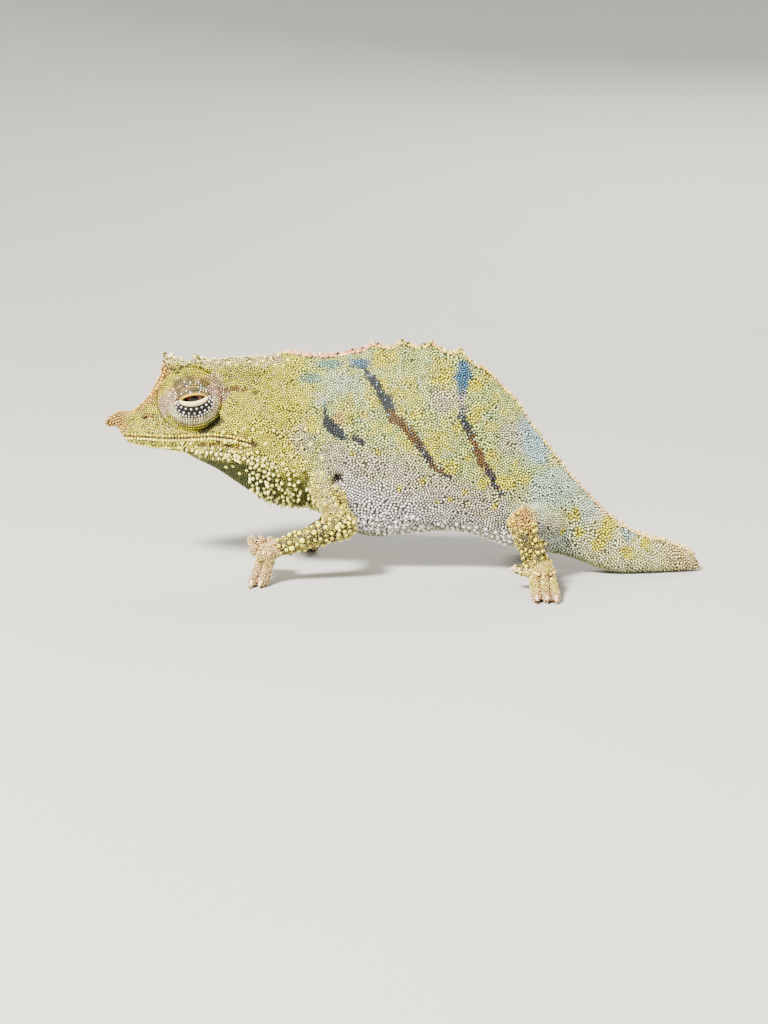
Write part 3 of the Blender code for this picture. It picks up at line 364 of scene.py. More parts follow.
def trunk_colour(points):
    """The colour of head, neck, flank and tail at upright points."""
    count = len(points)
    broad = np.column_stack([mottle(points, 0.9, seed) for seed in (1, 2)]) - 0.5
    fine = np.column_stack([mottle(points, 0.35, seed) for seed in (6, 7)]) - 0.5
    x, z = (points[:, [0, 2]] + broad * 0.55 + fine * 0.6).T
    firm_x, firm_z = (points[:, [0, 2]] + broad * 0.35 + fine * 0.2).T
    cloud, fleck, grain = (mottle(points, size, seed) for size, seed in ((2.2, 3), (0.9, 4), (0.45, 5)))
    colour = blend(plain(SAGE, count), PALE_TURQUOISE, soft(grain * 0.5 + cloud * 0.5, 0.5, 0.7) * 0.5)
    colour = blend(colour, HEAD_YELLOW, soft(cloud * 0.6 + fleck * 0.4, 0.42, 0.62) * 0.6)
    colour = blend(colour, YELLOW, soft(fleck * 0.6 + grain * 0.4, 0.58, 0.74) * 0.5)
    lilac_line = LILAC_Z - LILAC_SLOPE * (x - LILAC_X) + (cloud - 0.5) * 2
    lilac = soft(lilac_line - z, -2.4, 1.4) * soft(x, -10, -6) * (1 - 0.8 * soft(x, 15, 19))
    colour = blend(colour, LILAC_GREY, lilac * (0.6 + 0.4 * soft(fleck, 0.3, 0.6)))
    white = soft(lilac_line - BELLY_DROP - z, -1.5, 2.0) * soft(x, -9, -6) * (1 - soft(x, 14, 17))
    colour = blend(colour, LILAC_WHITE, white)
    hind = soft(x, *HIND) * (1 - white) * 0.75
    colour = blend(colour, PALE_TURQUOISE, hind * soft(cloud, 0.25, 0.7))
    olive = soft(fine[:, 0] + 0.5, 0.45, 0.75) * (0.85 - 0.65 * soft(x, -16.5, -13))
    neck = blend(plain(HEAD_YELLOW, count), OLIVE, olive)
    neck = blend(neck, YELLOW, soft(fleck, 0.45, 0.75) * 0.7)
    neck = blend(neck, CREAM, soft(grain * 0.5 + cloud * 0.5, 0.5, 0.68) * 0.55 * soft(x, -19, -14))
    colour = blend(colour, neck, 1 - soft(x, *NECK_TO))
    tail = soft(x, *TAIL)
    colour = blend(colour, blend(plain(TAIL_CREAM, count), LILAC_WHITE, fleck * 0.5), tail)
    colour = blend(colour, TAIL_TIP, soft(x + (z - 2) * 0.6, *TIP) * 0.8)
    for tint, share, at_x, at_z, wide, high in PATCHES:
        away = np.hypot((x - at_x) / wide, (z - at_z) / high)
        colour = blend(colour, tint, share * (1 - soft(away, 0.6, 1.3)))
    for at_x, at_z, radius in YELLOW_SPOTS:
        away = np.hypot(firm_x - at_x, firm_z - at_z) / radius
        colour = blend(colour, YELLOW, 0.96 * (1 - soft(away, 0.85, 1.2)))
    for stops in STREAKS:
        away, along = near_path(firm_x, firm_z, [stop[:2] for stop in stops])
        at = along * (len(stops) - 1)
        numbers = range(len(stops))
        width = np.interp(at, numbers, [stop[2] for stop in stops])
        bands = [[stop[3][band] for stop in stops] for band in range(3)]
        ink = np.column_stack([np.interp(at, numbers, band) for band in bands])
        colour += (ink - colour) * (0.97 * (1 - soft(away / width, 0.85, 1.45)))[:, None]
    brow = soft(z, *BROW_BAND) * (1 - soft(x, -14.5, -12.5))
    colour = blend(colour, CREAM, brow * 0.95)
    colour = blend(colour, PINK, brow * soft(fleck, 0.5, 0.8) * 0.6)
    away, _ = near_path(x, z, SNOUT_RIDGE)
    colour = blend(colour, TAN, 0.85 * (1 - soft(away, 0.45, 1.0)))
    colour = blend(colour, TAN, 0.9 * (1 - soft(x, -29.9, -29.2)) * soft(z, 14.6, 15.0))
    # The throat below the jaw's edge turns dark olive, partly its own colour and partly painted shade.
    jaw_z = np.interp(x, *np.transpose(JAW_EDGE))
    throat = soft(jaw_z - z, 0.35, 0.9) * (1 - soft(x, -15.5, -12.5)) * soft(x, -27, -24)
    colour = blend(colour, THROAT_OLIVE_AND_SHADE, throat * 0.93)
    # Painted shade along the mouth's creases, and the temple's own line.
    for path, tint, width in CREASE_SHADE_AND_LINES:
        away, _ = near_path(points[:, 0], points[:, 2], path)
        colour = blend(colour, tint, 0.9 * (1 - soft(away, width, width * 1.9)))
    return colour


ARM_OLIVE, ARM_DARK, ARM_PALE = (0.62, 0.50, 0.04), (0.11, 0.09, 0.01), (0.90, 0.80, 0.34)
SHANK_OLIVE, SHANK_DARK, KNEE = (0.58, 0.46, 0.03), (0.12, 0.10, 0.01), (0.95, 0.50, 0.06)
PALM, FOOT_PEACH, TOE_PINK = (0.95, 0.74, 0.08), (1.0, 0.78, 0.14), (1.0, 0.66, 0.34)
LIMBS = ("upper_arm", "forearm", "hand", "thigh", "shank", "foot")
KNEE_AT, PALM_AT = (11.4, 6.4, 7.0), (-14.5, 6.7, 2.7)
# Between the toes the colour turns brown as painted shade in the grooves, which are also cut into the hide.
TOE_CREASE_SHADE, TOE_CREASE_SHADE_SHARE, TOE_GROOVE_DEPTH = (0.22, 0.10, 0.03), 0.85, 0.30


def limb_colour(kind, places, under):
    """The colour of one kind of limb part at places, under being the trunk's colour there."""
    cloud, count = mottle(places, 0.6, 9), len(places)
    left_side = places * (1, -1, 1)
    left_side[places[:, 1] > 0, 1] *= -1
    if kind == "upper_arm":
        own = blend(plain(ARM_OLIVE, count), ARM_PALE, soft(cloud, 0.45, 0.7) * 0.7)
        return under + (own - under) * (1 - soft(places[:, 2], 8.6, 11.2))[:, None]
    if kind == "forearm":
        return blend(plain(ARM_OLIVE, count), ARM_DARK, soft(cloud, 0.3, 0.6) * 0.75)
    if kind == "hand":
        near = np.linalg.norm(left_side - PALM_AT, axis=1)
        own = blend(plain(PALM, count), ARM_OLIVE, cloud * 0.4)
        return blend(own, TOE_PINK, soft(near, 0.8, 1.9) * 0.9)
    if kind == "thigh":
        near = np.linalg.norm(left_side - KNEE_AT, axis=1)
        own = blend(plain(KNEE, count), SHANK_OLIVE, soft(cloud, 0.4, 0.7) * 0.5)
        return under + (own - under) * (1 - soft(near, 0.9, 2.6))[:, None]
    if kind == "shank":
        own = blend(plain(SHANK_OLIVE, count), SHANK_DARK, soft(cloud, 0.3, 0.6) * 0.8)
        own = blend(own, KNEE, soft(places[:, 2], 5.6, 7.2) * 0.8)
        return blend(own, FOOT_PEACH, 1 - soft(places[:, 2], 2.0, 2.7))
    own = blend(plain(FOOT_PEACH, count), KNEE, cloud * 0.25)
    return blend(own, TOE_PINK, 1 - soft(places[:, 2], 0.5, 1.3))


def toe_paths(limb, side):
    """The path of each toe of one foot, with the number of its bundle, in millimetres."""
    back = np.array((*SET_BACK[limb], 0.0)) * (side == RIGHT)
    for number, bundle in enumerate(TOES[limb]):
        path = np.array(bundle["path"]) + back
        if side == RIGHT and limb == "hand":
            path[:, 2] *= RIGHT_HAND_HEIGHTS[number]
        for k in range(bundle["count"]):
            offset = (k - (bundle["count"] - 1) / 2) * TOE_SPACING
            yield number, (path + np.array(bundle["spread"]) * offset) * (1, side, 1)


def toe_grooves(points):
    """How deep points lie in the groove between two toes, 0 to 1."""
    groove = np.zeros(len(points))
    for limb in TOES:
        for side in (LEFT, RIGHT):
            by_bundle = {}
            for number, path in toe_paths(limb, side):
                at = np.linspace(0.2, 2.4, 12)
                stops = np.column_stack([np.interp(at, range(3), path[:, axis]) for axis in range(3)])
                away = np.linalg.norm(points[:, None] - stops, axis=2).min(axis=1)
                by_bundle.setdefault(number, []).append(away)
            for aways in by_bundle.values():
                first, second = np.sort(np.array(aways), axis=0)[:2]
                between_toes = (1 - soft(second - first, 0.05, 0.42)) * (1 - soft(first, 0.9, 1.3))
                groove = np.maximum(groove, between_toes)
    return groove


def on_parts(parts, *starts):
    """Which of the parts' names begin with one of starts."""
    return np.array([part.startswith(starts) for part in parts])


def markings(points, nodes):
    """Colours at points in the frame, each on the piece of the body that nodes names."""
    colour = trunk_colour(turned(points, -1))
    for kind in LIMBS:
        here = on_parts(nodes, kind)
        if here.any():
            colour[here] = limb_colour(kind, points[here], colour[here])
            if kind in TOES:
                # Painted shade in the grooves between toes.
                colour[here] = blend(colour[here], TOE_CREASE_SHADE, toe_grooves(points[here]) * TOE_CREASE_SHADE_SHARE)
    return np.clip(colour, 0, 1)


flesh = sorted(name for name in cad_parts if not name.startswith("eye_"))
corners, triangles, owners = [], [], []
bm = bmesh.new()
for name in flesh:
    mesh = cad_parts[name].data
    bm.from_mesh(mesh)
    base = len(corners)
    corners += [v.co / MM for v in mesh.vertices]
    triangles += [[base + v for v in p.vertices] for p in mesh.polygons]
    owners += [name] * len(mesh.polygons)
body_parts = BVHTree.FromPolygons(corners, triangles)


def nearest_parts(points):
    """The name of the CAD node that each point lies on."""
    return [owners[body_parts.find_nearest(p)[2]] for p in points]


bmesh.ops.scale(bm, vec=(1 / MM,) * 3, verts=bm.verts)
bmesh.ops.remove_doubles(bm, verts=bm.verts, dist=1e-3)
bm.normal_update()
for v in bm.verts:
    v.co += v.normal * SEAM_SWELL

lobes = [(turned(np.array([[x, 0.0, z]]), 1)[0], radius) for x, z, radius in HORN_LOBES]
for side in (LEFT, RIGHT):
    lobes += [(turned(np.array([[x, side * PEAK_OUT, z]]), 1)[0], radius) for x, z, radius in PEAK_LOBES]
for limb in TOES:
    for side in (LEFT, RIGHT):
        for _, path in toe_paths(limb, side):
            for share in np.linspace(0, 1, TOE_STEPS):
                place = [np.interp(share * 2, range(3), path[:, axis]) for axis in range(3)]
                lobes.append((place, TOE_RADII[0] + (TOE_RADII[1] - TOE_RADII[0]) * share))
ball = bmesh.new()
bmesh.ops.create_icosphere(ball, subdivisions=2, radius=1.0)
ball_mesh = bpy.data.meshes.new("lobe")
ball.to_mesh(ball_mesh)
ball.free()
lobe_bm = bmesh.new()
for place, radius in lobes:
    start = len(lobe_bm.verts)
    lobe_bm.from_mesh(ball_mesh)
    lobe_bm.verts.ensure_lookup_table()
    made = lobe_bm.verts[start:]
    bmesh.ops.scale(lobe_bm, vec=(radius + SEAM_SWELL,) * 3, verts=made)
    bmesh.ops.translate(lobe_bm, vec=place, verts=made)
lobe_bm.to_mesh(ball_mesh)
lobe_bm.free()
bm.from_mesh(ball_mesh)
bpy.data.meshes.remove(ball_mesh)
hide_mesh = bpy.data.meshes.new("hide_rough")
bm.to_mesh(hide_mesh)
bm.free()
rough = bpy.data.objects.new("hide_rough", hide_mesh)
bpy.context.scene.collection.objects.link(rough)
remesh = rough.modifiers.new("one_hide", "REMESH")
remesh.mode, remesh.voxel_size = "VOXEL", HIDE_VOXEL
evaluated = rough.evaluated_get(bpy.context.evaluated_depsgraph_get())
bm = bmesh.new()
bm.from_mesh(evaluated.to_mesh())
evaluated.to_mesh_clear()
bpy.data.objects.remove(rough)
bpy.data.meshes.remove(hide_mesh)


def on_toes(place):
    """Whether a place is on a hand or foot. The right hand stands further back than the left."""
    on_right = place.y > RIGHT_HAND_Y and place.x < RIGHT_HAND_X
    on_hand = place.z < HAND_HEIGHT and (place.x < LEFT_HAND_X or on_right)
    return abs(place.y) > TOES_OUT and (place.z < TOE_HEIGHT if place.x > 0 else on_hand)


def sharp_form(place):
    """Toes, horn and brow, which keep their own small forms."""
    on_horn = place.x < HORN_X and place.z > HORN_Z
    return on_toes(place) or on_horn or (place.x < BROW_X and place.z > BROW_Z)


def at_hip(place):
    """Whether a place is where a thigh joins the body."""
    spot = (place.x, abs(place.y), place.z)
    return all(low < value < high for value, (low, high) in zip(spot, HIP_BOX))


soft_form = [v for v in bm.verts if not sharp_form(v.co)]
hips = [v for v in bm.verts if at_hip(v.co)]
softer_rounds = HIDE_ROUNDS - FORM_ROUNDS
for moving, rounds in ((bm.verts[:], FORM_ROUNDS), (soft_form, softer_rounds), (hips, HIP_ROUNDS)):
    for _ in range(rounds):
        bmesh.ops.smooth_vert(
            bm, verts=moving, factor=SMOOTHING, use_axis_x=True, use_axis_y=True, use_axis_z=True
        )
bm.normal_update()
for v in bm.verts:
    v.co -= v.normal * (TOE_SINK if on_toes(v.co) else SEAM_SWELL + SCALE_DEPTH)

places = np.array([v.co for v in bm.verts])
upright = turned(places, -1)
groove = np.zeros(len(places))
for path, width, depth in GROOVES:
    away, _ = near_path(upright[:, 0], upright[:, 2], path)
    groove = np.maximum(groove, depth * (1 - soft(away, 0, width * 2)))
for at_x, at_z, radius, depth in PITS:
    away = np.hypot(upright[:, 0] - at_x, upright[:, 2] - at_z)
    groove = np.maximum(groove, depth * (1 - soft(away, 0, radius)))
groove = np.maximum(groove, toe_grooves(places) * TOE_GROOVE_DEPTH)
high = np.exp(-(((places[:, :1] - SCALLOPS) / SCALLOP_HALF) ** 2)).max(axis=1) * SCALLOP_HIGH
for v, depth, lift in zip(bm.verts, groove, high):
    v.co.z += lift * max(0.0, v.normal.z - 0.5) * 2
    v.co -= v.normal * depth
    v.co.z = max(v.co.z, 0.0)

# The hide shows only in the gaps between the scales, so its colour is squared and darkened there as painted
# shade, less on palms and soles.
HIDE_PAINTED_SHADE, PALM_PAINTED_SHADE = 0.06, 0.2
PALMS = ("hand", "foot")


def feed_grained(shader, tint, grain, dim, bump=None):
    """Feeds a colour that a fine grain dims, and the grain as a bump of (strength, millimetres)."""
    feed(shader, Base_Color=tint.mix(1 - dim + grain * dim, (0, 0, 0, 1), tint))
    if bump:
        sockets = {"Strength": bump[0], "Distance": bump[1] * MM, "Height": grain}
        feed(shader, Normal=tint.node("ShaderNodeBump", sockets=sockets))


def paint(mesh, tints):
    """Gives each point of a mesh its own colour, which its material reads."""
    layer = mesh.attributes.new("tint", "FLOAT_COLOR", "POINT")
    layer.data.foreach_set("color", np.column_stack((tints, np.ones(len(tints)))).ravel())


hide, hide_shader, wire = new_material("thin_hide", Roughness=0.6, Specular_IOR_Level=0.25)
feed_grained(hide_shader, wire.attribute("tint"), wire.noise(9000.0), 0.4, bump=(0.35, 0.03))
places = np.array([v.co for v in bm.verts])
hide_parts = nearest_parts(places)
# Painted shade in the gaps between the scales.
painted_shades = np.where(on_parts(hide_parts, *PALMS), PALM_PAINTED_SHADE, HIDE_PAINTED_SHADE)
shaded_hide_colour = markings(places, hide_parts) ** 2 * painted_shades[:, None]
bmesh.ops.scale(bm, vec=(MM,) * 3, verts=bm.verts)
skin = add_object("skin", bm, hide)
paint(skin.data, shaded_hide_colour)
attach(skin, "root")
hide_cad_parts(*flesh)


def read_rows(items, field, kind=np.float32):
    """One field of a mesh's items, in rows of three."""
    flat = np.empty(len(items) * 3, kind)
    items.foreach_get(field, flat)
    return flat.reshape(-1, 3)


skin.data.calc_loop_triangles()
hide_places = read_rows(skin.data.vertices, "co").astype(float) / MM
hide_normals = read_rows(skin.data.vertex_normals, "vector").astype(float)
hide_faces = read_rows(skin.data.loop_triangles, "vertices", np.int32)
surface = BVHTree.FromPolygons(hide_places.tolist(), hide_faces.tolist())


def onto_skin(points):
    """The nearest places on the skin, and the way out of it there."""
    found = [surface.find_nearest(p) for p in points.tolist()]
    ups = hide_normals[hide_faces[[f[2] for f in found]]].mean(axis=1)
    return np.array([f[0] for f in found]), ups / np.linalg.norm(ups, axis=1, keepdims=True)


# Each eye sits in a turret, a dome of skin closed to a slit by one ring of lid. It is a sheet drawn
# out from the edge of the slit, with a swollen rim there, and it runs out onto the skin of the head.
TURRET_RADII = np.array((3.1, 2.35, 2.95))
GAZE_X, GAZE_Z, BALL_Y, BALL_RADIUS = -22.125, 18.42, 3.5, 1.42
SLIT_HALF, SLIT_HIGH, SLIT_TILT = 1.22, 0.32, math.radians(10)
RING_WIDEN, RING_HEIGHTEN, MEAN_RADIUS = 0.85, 1.06, 2.85
RIM = ((-0.05, -0.55), (-0.03, -0.2), (0.0, 0.02), (0.07, 0.1), (0.17, 0.11), (0.27, 0.03), (0.36, -0.05))
SHEET_SINK, SHEET_STEP, SHEET_END = -0.06, 0.2, 3.6
EDGE_SWING, EDGE_SLOPE, FILLET = 1.08, 1.5, 0.20
EDGE_DIP, EDGE_FROM, NUDGE = 0.32, 0.85, 0.03
UPPER_LID, LOWER_LID, TURRET_SIDES, TURRET_PAINTED_SHADE = 0.45, 1.3, 84, 0.12
TURRET_TAN, TURRET_GREY, LID_CREAM = (0.56, 0.35, 0.05), (0.17, 0.13, 0.03), (0.98, 0.82, 0.42)
WHITE_BEAD, TURRET_PINK, INK = (0.98, 0.97, 0.86), (0.84, 0.52, 0.38), (0.008, 0.006, 0.010)
PALE_RING = (0.98, 0.84, 0.46)
SIDE_WORDS = {"left": LEFT, "right": RIGHT}


def ring_point(out, angle):
    """(u, v) on the ring that lies out from the edge of the slit."""
    pinch = np.abs(np.sin(angle)) ** (0.45 * np.exp(-out / 0.5))
    u = (SLIT_HALF + RING_WIDEN * out) * np.cos(angle)
    v = (SLIT_HIGH + RING_HEIGHTEN * out) * np.sin(angle) * pinch
    level, steep = math.cos(SLIT_TILT), math.sin(SLIT_TILT)
    return u * level - v * steep, u * steep + v * level


def skin_depth(points, side):
    """How far out from the middle the skin lies at each upright point's x and z."""
    starts, ends = (turned(points * (1, 0, 1) + (0, side * y, 0), 1) for y in (20.0, 0.0))
    hits = [surface.ray_cast(start, end - start)[0] for start, end in zip(starts, ends)]
    found = turned(np.array([hit or start for hit, start in zip(hits, starts)]), -1)[:, 1] * side
    return np.where([hit is None for hit in hits], -9.0, found)


def turret_place(u, v, side, lift):
    """Upright places on one turret at (u, v) from the gaze, or on the head where they lie beyond it."""
    gaze = (np.array((GAZE_X, EYE_CENTRE[1], GAZE_Z)) - EYE_CENTRE) / TURRET_RADII
    gaze[1] = side * math.sqrt(1 - gaze @ gaze)
    right = np.array((1.0, 0, 0)) - gaze * gaze[0]
    right /= np.linalg.norm(right)
    over = np.cross(gaze, right) * -side
    reach = np.hypot(u, v) + 1e-9
    swing = reach / MEAN_RADIUS
    bent = np.minimum(swing, EDGE_SWING)[:, None]
    toward = right * (u / reach)[:, None] + over * (v / reach)[:, None]
    ball = gaze * np.cos(bent) + toward * np.sin(bent)
    ups = ball / TURRET_RADII
    ups /= np.linalg.norm(ups, axis=1, keepdims=True)
    places = EYE_CENTRE * (1, -side, 1) + ball * TURRET_RADII + ups * np.reshape(lift, (-1, 1))
    flat = toward * (1, 0, 1)
    flat /= np.linalg.norm(flat, axis=1, keepdims=True)
    beyond = (np.maximum(0, swing - EDGE_SWING) * MEAN_RADIUS)[:, None]
    places += beyond * (flat - np.array((0, side * EDGE_SLOPE, 0)))
    edge = swing > EDGE_SWING * EDGE_FROM
    if edge.any():
        own, skin_out = places[edge, 1] * side, skin_depth(places[edge], side)
        met = (own + skin_out) / 2 + np.sqrt(((own - skin_out) / 2) ** 2 + FILLET**2)
        places[edge, 1] = side * (met - EDGE_DIP * soft(skin_out - own, 0.0, 0.5))
    return places


def on_turret(u, v, side, lift):
    """Places on one turret in the frame, and the way out there."""
    foot, along, over = (
        turned(turret_place(u + du, v + dv, side, lift), 1) for du, dv in ((0, 0), (NUDGE, 0), (0, NUDGE))
    )
    ups = np.cross(along - foot, over - foot)
    ups /= np.linalg.norm(ups, axis=1, keepdims=True) + 1e-12
    ups *= np.sign(ups[:, 1] * side + 1e-9)[:, None]
    return foot, ups


def turret_colour(out, angle, side):
    """The turret's colour on the ring out from the slit at an angle, 0 at the back and 90 up."""
    low = -np.sin(angle)
    spot = np.column_stack((out * np.cos(angle), out * np.sin(angle), 0 * out)) * 2 + 30
    cloud = mottle(spot, 0.7, 3)
    colour = blend(plain(TURRET_TAN, len(out)), TURRET_GREY, soft(cloud, 0.35, 0.6))
    ends = soft(np.abs(np.cos(angle)), 0.72, 0.92) * soft(out, 0.5, 0.9)
    colour = blend(colour, TURRET_PINK, ends * 0.7)
    edge = 0.62 + 1.0 * soft(low, -0.2, 0.9)
    u, v = ring_point(out, angle)
    colour = blend(colour, trunk_colour(turret_place(u, v, side, 0 * u)), soft(out, 1.9, 2.9))
    pale = soft(out, edge, edge + 0.15) * (1 - soft(out, edge + 0.9, edge + 1.4)) * soft(low, -0.1, 0.3)
    colour = blend(colour, PALE_RING, pale * 0.85)
    rim = 0.16 + 0.22 * soft(low, -0.1, 0.4)
    dark = soft(out, rim, rim + 0.06) * (1 - soft(out, edge - 0.06, edge)) * soft(low, -0.35, -0.15)
    colour = blend(colour, INK, dark)
    lid = 1 - soft(out, rim, rim + 0.06)
    lid_tint = blend(plain(TURRET_TAN, len(out)), LID_CREAM, soft(low, -0.25, 0.1))
    colour = blend(colour, lid_tint, lid)
    return blend(colour, INK, 1 - soft(out, -0.03, 0.0)), dark, lid


lid_skin, lid_shader, wire = new_material("lid_skin", Specular_IOR_Level=0.3)
grain = wire.noise(14000.0, 3.0)
feed_grained(lid_shader, wire.attribute("tint"), grain, 0.3, bump=(0.4, 0.02))
feed(lid_shader, Roughness=0.45 + grain * 0.3)

sheet_rows = list(RIM)
while sheet_rows[-1][0] < SHEET_END:
    sheet_rows.append((sheet_rows[-1][0] + SHEET_STEP, SHEET_SINK))
turret_edges = {}
for word, side in SIDE_WORDS.items():
    bm = bmesh.new()
    bmesh.ops.create_circle(bm, segments=TURRET_SIDES, radius=1.0)
    loops = [bm.verts[:]]
    rim = bm.edges[:]
    for _ in sheet_rows[1:]:
        made = bmesh.ops.extrude_edge_only(bm, edges=rim)["geom"]
        rim = [g for g in made if isinstance(g, bmesh.types.BMEdge)]
        loops.append([g for g in made if isinstance(g, bmesh.types.BMVert)])
    tints = []
    for (out, lift), loop in zip(sheet_rows, loops):
        angle = np.array([math.atan2(v.co.y, v.co.x) for v in loop])
        low = soft(-np.sin(angle), -0.1, 0.45)
        thick = UPPER_LID + (LOWER_LID - UPPER_LID) * low
        thick = thick + (1 - thick) * soft(np.float64(out), 0.3, 1.2)
        u, v = ring_point(out * thick, angle)
        places = turret_place(u, v, side, np.full(len(angle), lift))
        for corner, place in zip(loop, turned(places, 1)):
            corner.co = place
        above = places[:, 1] * side > skin_depth(places, side)
        flat_places = places[:, [0, 2]] - (GAZE_X, GAZE_Z)
        edge_so_far = turret_edges.get(side, flat_places)
        turret_edges[side] = np.where(above[:, None], flat_places, edge_so_far)
        colour, _, lid = turret_colour(out * thick, angle, side)
        # Outside the lid the sheet shows only in the gaps between its ring scales, and is darkened there as
        # painted shade.
        tints.append(colour * (TURRET_PAINTED_SHADE + (1 - TURRET_PAINTED_SHADE) * lid)[:, None])
    order = {v: i for i, v in enumerate(v for loop in loops for v in loop)}
    tints = np.concatenate(tints)[[order[v] for v in bm.verts]]
    bm.normal_update()
    outer = max(bm.faces, key=lambda f: f.calc_center_median().y * side)
    if outer.normal.y * side < 0:
        bmesh.ops.reverse_faces(bm, faces=bm.faces)
    bmesh.ops.scale(bm, vec=(MM,) * 3, verts=bm.verts)
    turret = add_object(f"turret_{word}", bm, lid_skin)
    paint(turret.data, tints)
    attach(turret, "root")
    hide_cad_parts(f"eye_turret_{word}")


def under_turret(points):
    """Which upright points lie behind the sheet of a turret."""
    hidden = np.zeros(len(points), bool)
    for side, edge in turret_edges.items():
        order = np.argsort(np.arctan2(edge[:, 1], edge[:, 0]))
        bearing = np.arctan2(edge[order, 1], edge[order, 0])
        apart = points[:, [0, 2]] - (GAZE_X, GAZE_Z)
        toward = np.arctan2(apart[:, 1], apart[:, 0])
        reach = np.interp(toward, bearing, np.hypot(*edge[order].T), period=2 * math.pi)
        hidden |= (points[:, 1] * side > 0.3) & (np.hypot(*apart.T) < reach - 0.12)
    return hidden


# Small rounded scales are packed over all the skin, fine on the head and hands and coarser on the
# belly. They are spread until they settle at an even pitch, then raised as low domes from the skin.
SCALE_PITCH = {
    "head": 0.255, "lower_jaw": 0.25, "snout_horn": 0.31, "neck": 0.275, "torso": 0.30, "tail": 0.33,
    "upper_arm": 0.28, "forearm": 0.26, "hand": 0.255, "thigh": 0.29, "shank": 0.27, "foot": 0.255,
}
BELLY_PITCH, HEX_SHARE, SETTLING_ROUNDS, QUICK_ROUNDS, PUSH = 0.37, 0.866, 9, 3, 0.32
HOLE, HOLE_SPACING, SOLE_HEIGHT, FOOT_FLATTER = 0.78, 0.7, 0.25, 0.9
STRAY, CHALK, DOT_SHARE, UNDERSIDE_SHADE = 0.09, 0.2, 0.12, (0.30, 0.33, 0.10)
rng = np.random.default_rng(5)


def pitch_at(points, nodes):
    """The scales' pitch at points, each on the piece of the body that nodes names."""
    pitch = np.array([next(v for k, v in SCALE_PITCH.items() if name.startswith(k)) for name in nodes])
    belly = soft(11.0 - 0.30 * (points[:, 0] + 6) - points[:, 2], -1.5, 1.5)
    return pitch + on_parts(nodes, "torso") * belly * (BELLY_PITCH - SCALE_PITCH["torso"])


def tree_of(points):
    """A tree that finds which of the points are near a place."""
    tree = KDTree(len(points))
    for i, p in enumerate(points.tolist()):
        tree.insert(p, i)
    tree.balance()
    return tree


def neighbours(points, count):
    """For each point the numbers of the nearest others, nearest first."""
    tree = tree_of(points)
    return np.array([[hit[1] for hit in tree.find_n(p, count + 1)][1:] for p in points.tolist()])


a, b, c = (hide_places[hide_faces[:, k]] for k in range(3))
areas = np.linalg.norm(np.cross(b - a, c - a), axis=1) / 2
centres = (a + b + c) / 3
face_pitch = pitch_at(centres, nearest_parts(centres))
crowding = areas / (HEX_SHARE * face_pitch**2)
picked = rng.choice(len(areas), size=int(crowding.sum()), p=crowding / crowding.sum())
u, v = rng.random((2, len(picked), 1))
flip = u + v > 1
u, v = np.where(flip, 1 - u, u), np.where(flip, 1 - v, v)
roots = a[picked] + (b - a)[picked] * u + (c - a)[picked] * v
wanted = face_pitch[picked][:, None, None]
for _ in range(SETTLING_ROUNDS):
    apart = roots[:, None] - roots[neighbours(roots, 6)]
    far = np.linalg.norm(apart, axis=2, keepdims=True) + 1e-6
    roots += (apart / far * np.maximum(0, wanted * 1.08 - far)).sum(axis=1) * PUSH
    roots, ups = onto_skin(roots)

# Places that are still bare get a scale each.
tree = tree_of(roots)
bare = np.array([tree.find(p)[2] for p in centres.tolist()]) > face_pitch * HOLE
fresh = []
tree = tree_of(centres)
for i in np.flatnonzero(bare):
    if bare[i]:
        fresh.append(i)
        for _, j, _ in tree.find_range(centres[i], face_pitch[i] * HOLE_SPACING):
            bare[j] = False
roots, ups = onto_skin(np.concatenate((roots, centres[fresh])))

parts = np.array(nearest_parts(roots))
near = neighbours(roots, 5)
radius = np.linalg.norm(roots[:, None] - roots[near], axis=2).mean(axis=1) * 0.5
shown = ~under_turret(turned(roots, -1))
shown &= (roots[:, 2] > SOLE_HEIGHT) | (ups[:, 2] > -0.2)
scales = {
    "root": roots[shown],
    "up": ups[shown],
    "part": parts[shown],
    "radius": radius[shown] * rng.uniform(0.92, 1.05, shown.sum()),
    "kind": np.zeros(shown.sum(), int),
}
flatter = np.where(on_parts(scales["part"], *PALMS), FOOT_FLATTER, 1.0)
scales["height"] = scales["radius"] * rng.uniform(0.95, 1.35, shown.sum()) * flatter
stray = rng.normal(0, STRAY, scales["root"].shape)
chalk = CHALK * rng.random(shown.sum()) ** 3
scales["tint"] = markings(scales["root"] + stray, scales["part"])
dark = 1 - soft(scales["tint"].mean(axis=1), 0.06, 0.26)
dots = (rng.random(shown.sum()) < DOT_SHARE) * dark * on_parts(scales["part"], "torso") * 0.4
scales["tint"] = blend(scales["tint"], WHITE_FLECK, chalk * (1 - 0.9 * dark))
scales["tint"] = blend(scales["tint"], PALE_BLUE, dots)
# Trunk and tail scales that face down are turned towards a dull olive, as painted shade under the body.
below = on_parts(scales["part"], "torso", "tail") * soft(-scales["up"][:, 2], 0.6, 0.85)
scales["tint"] = blend(scales["tint"], UNDERSIDE_SHADE, below * 0.75)


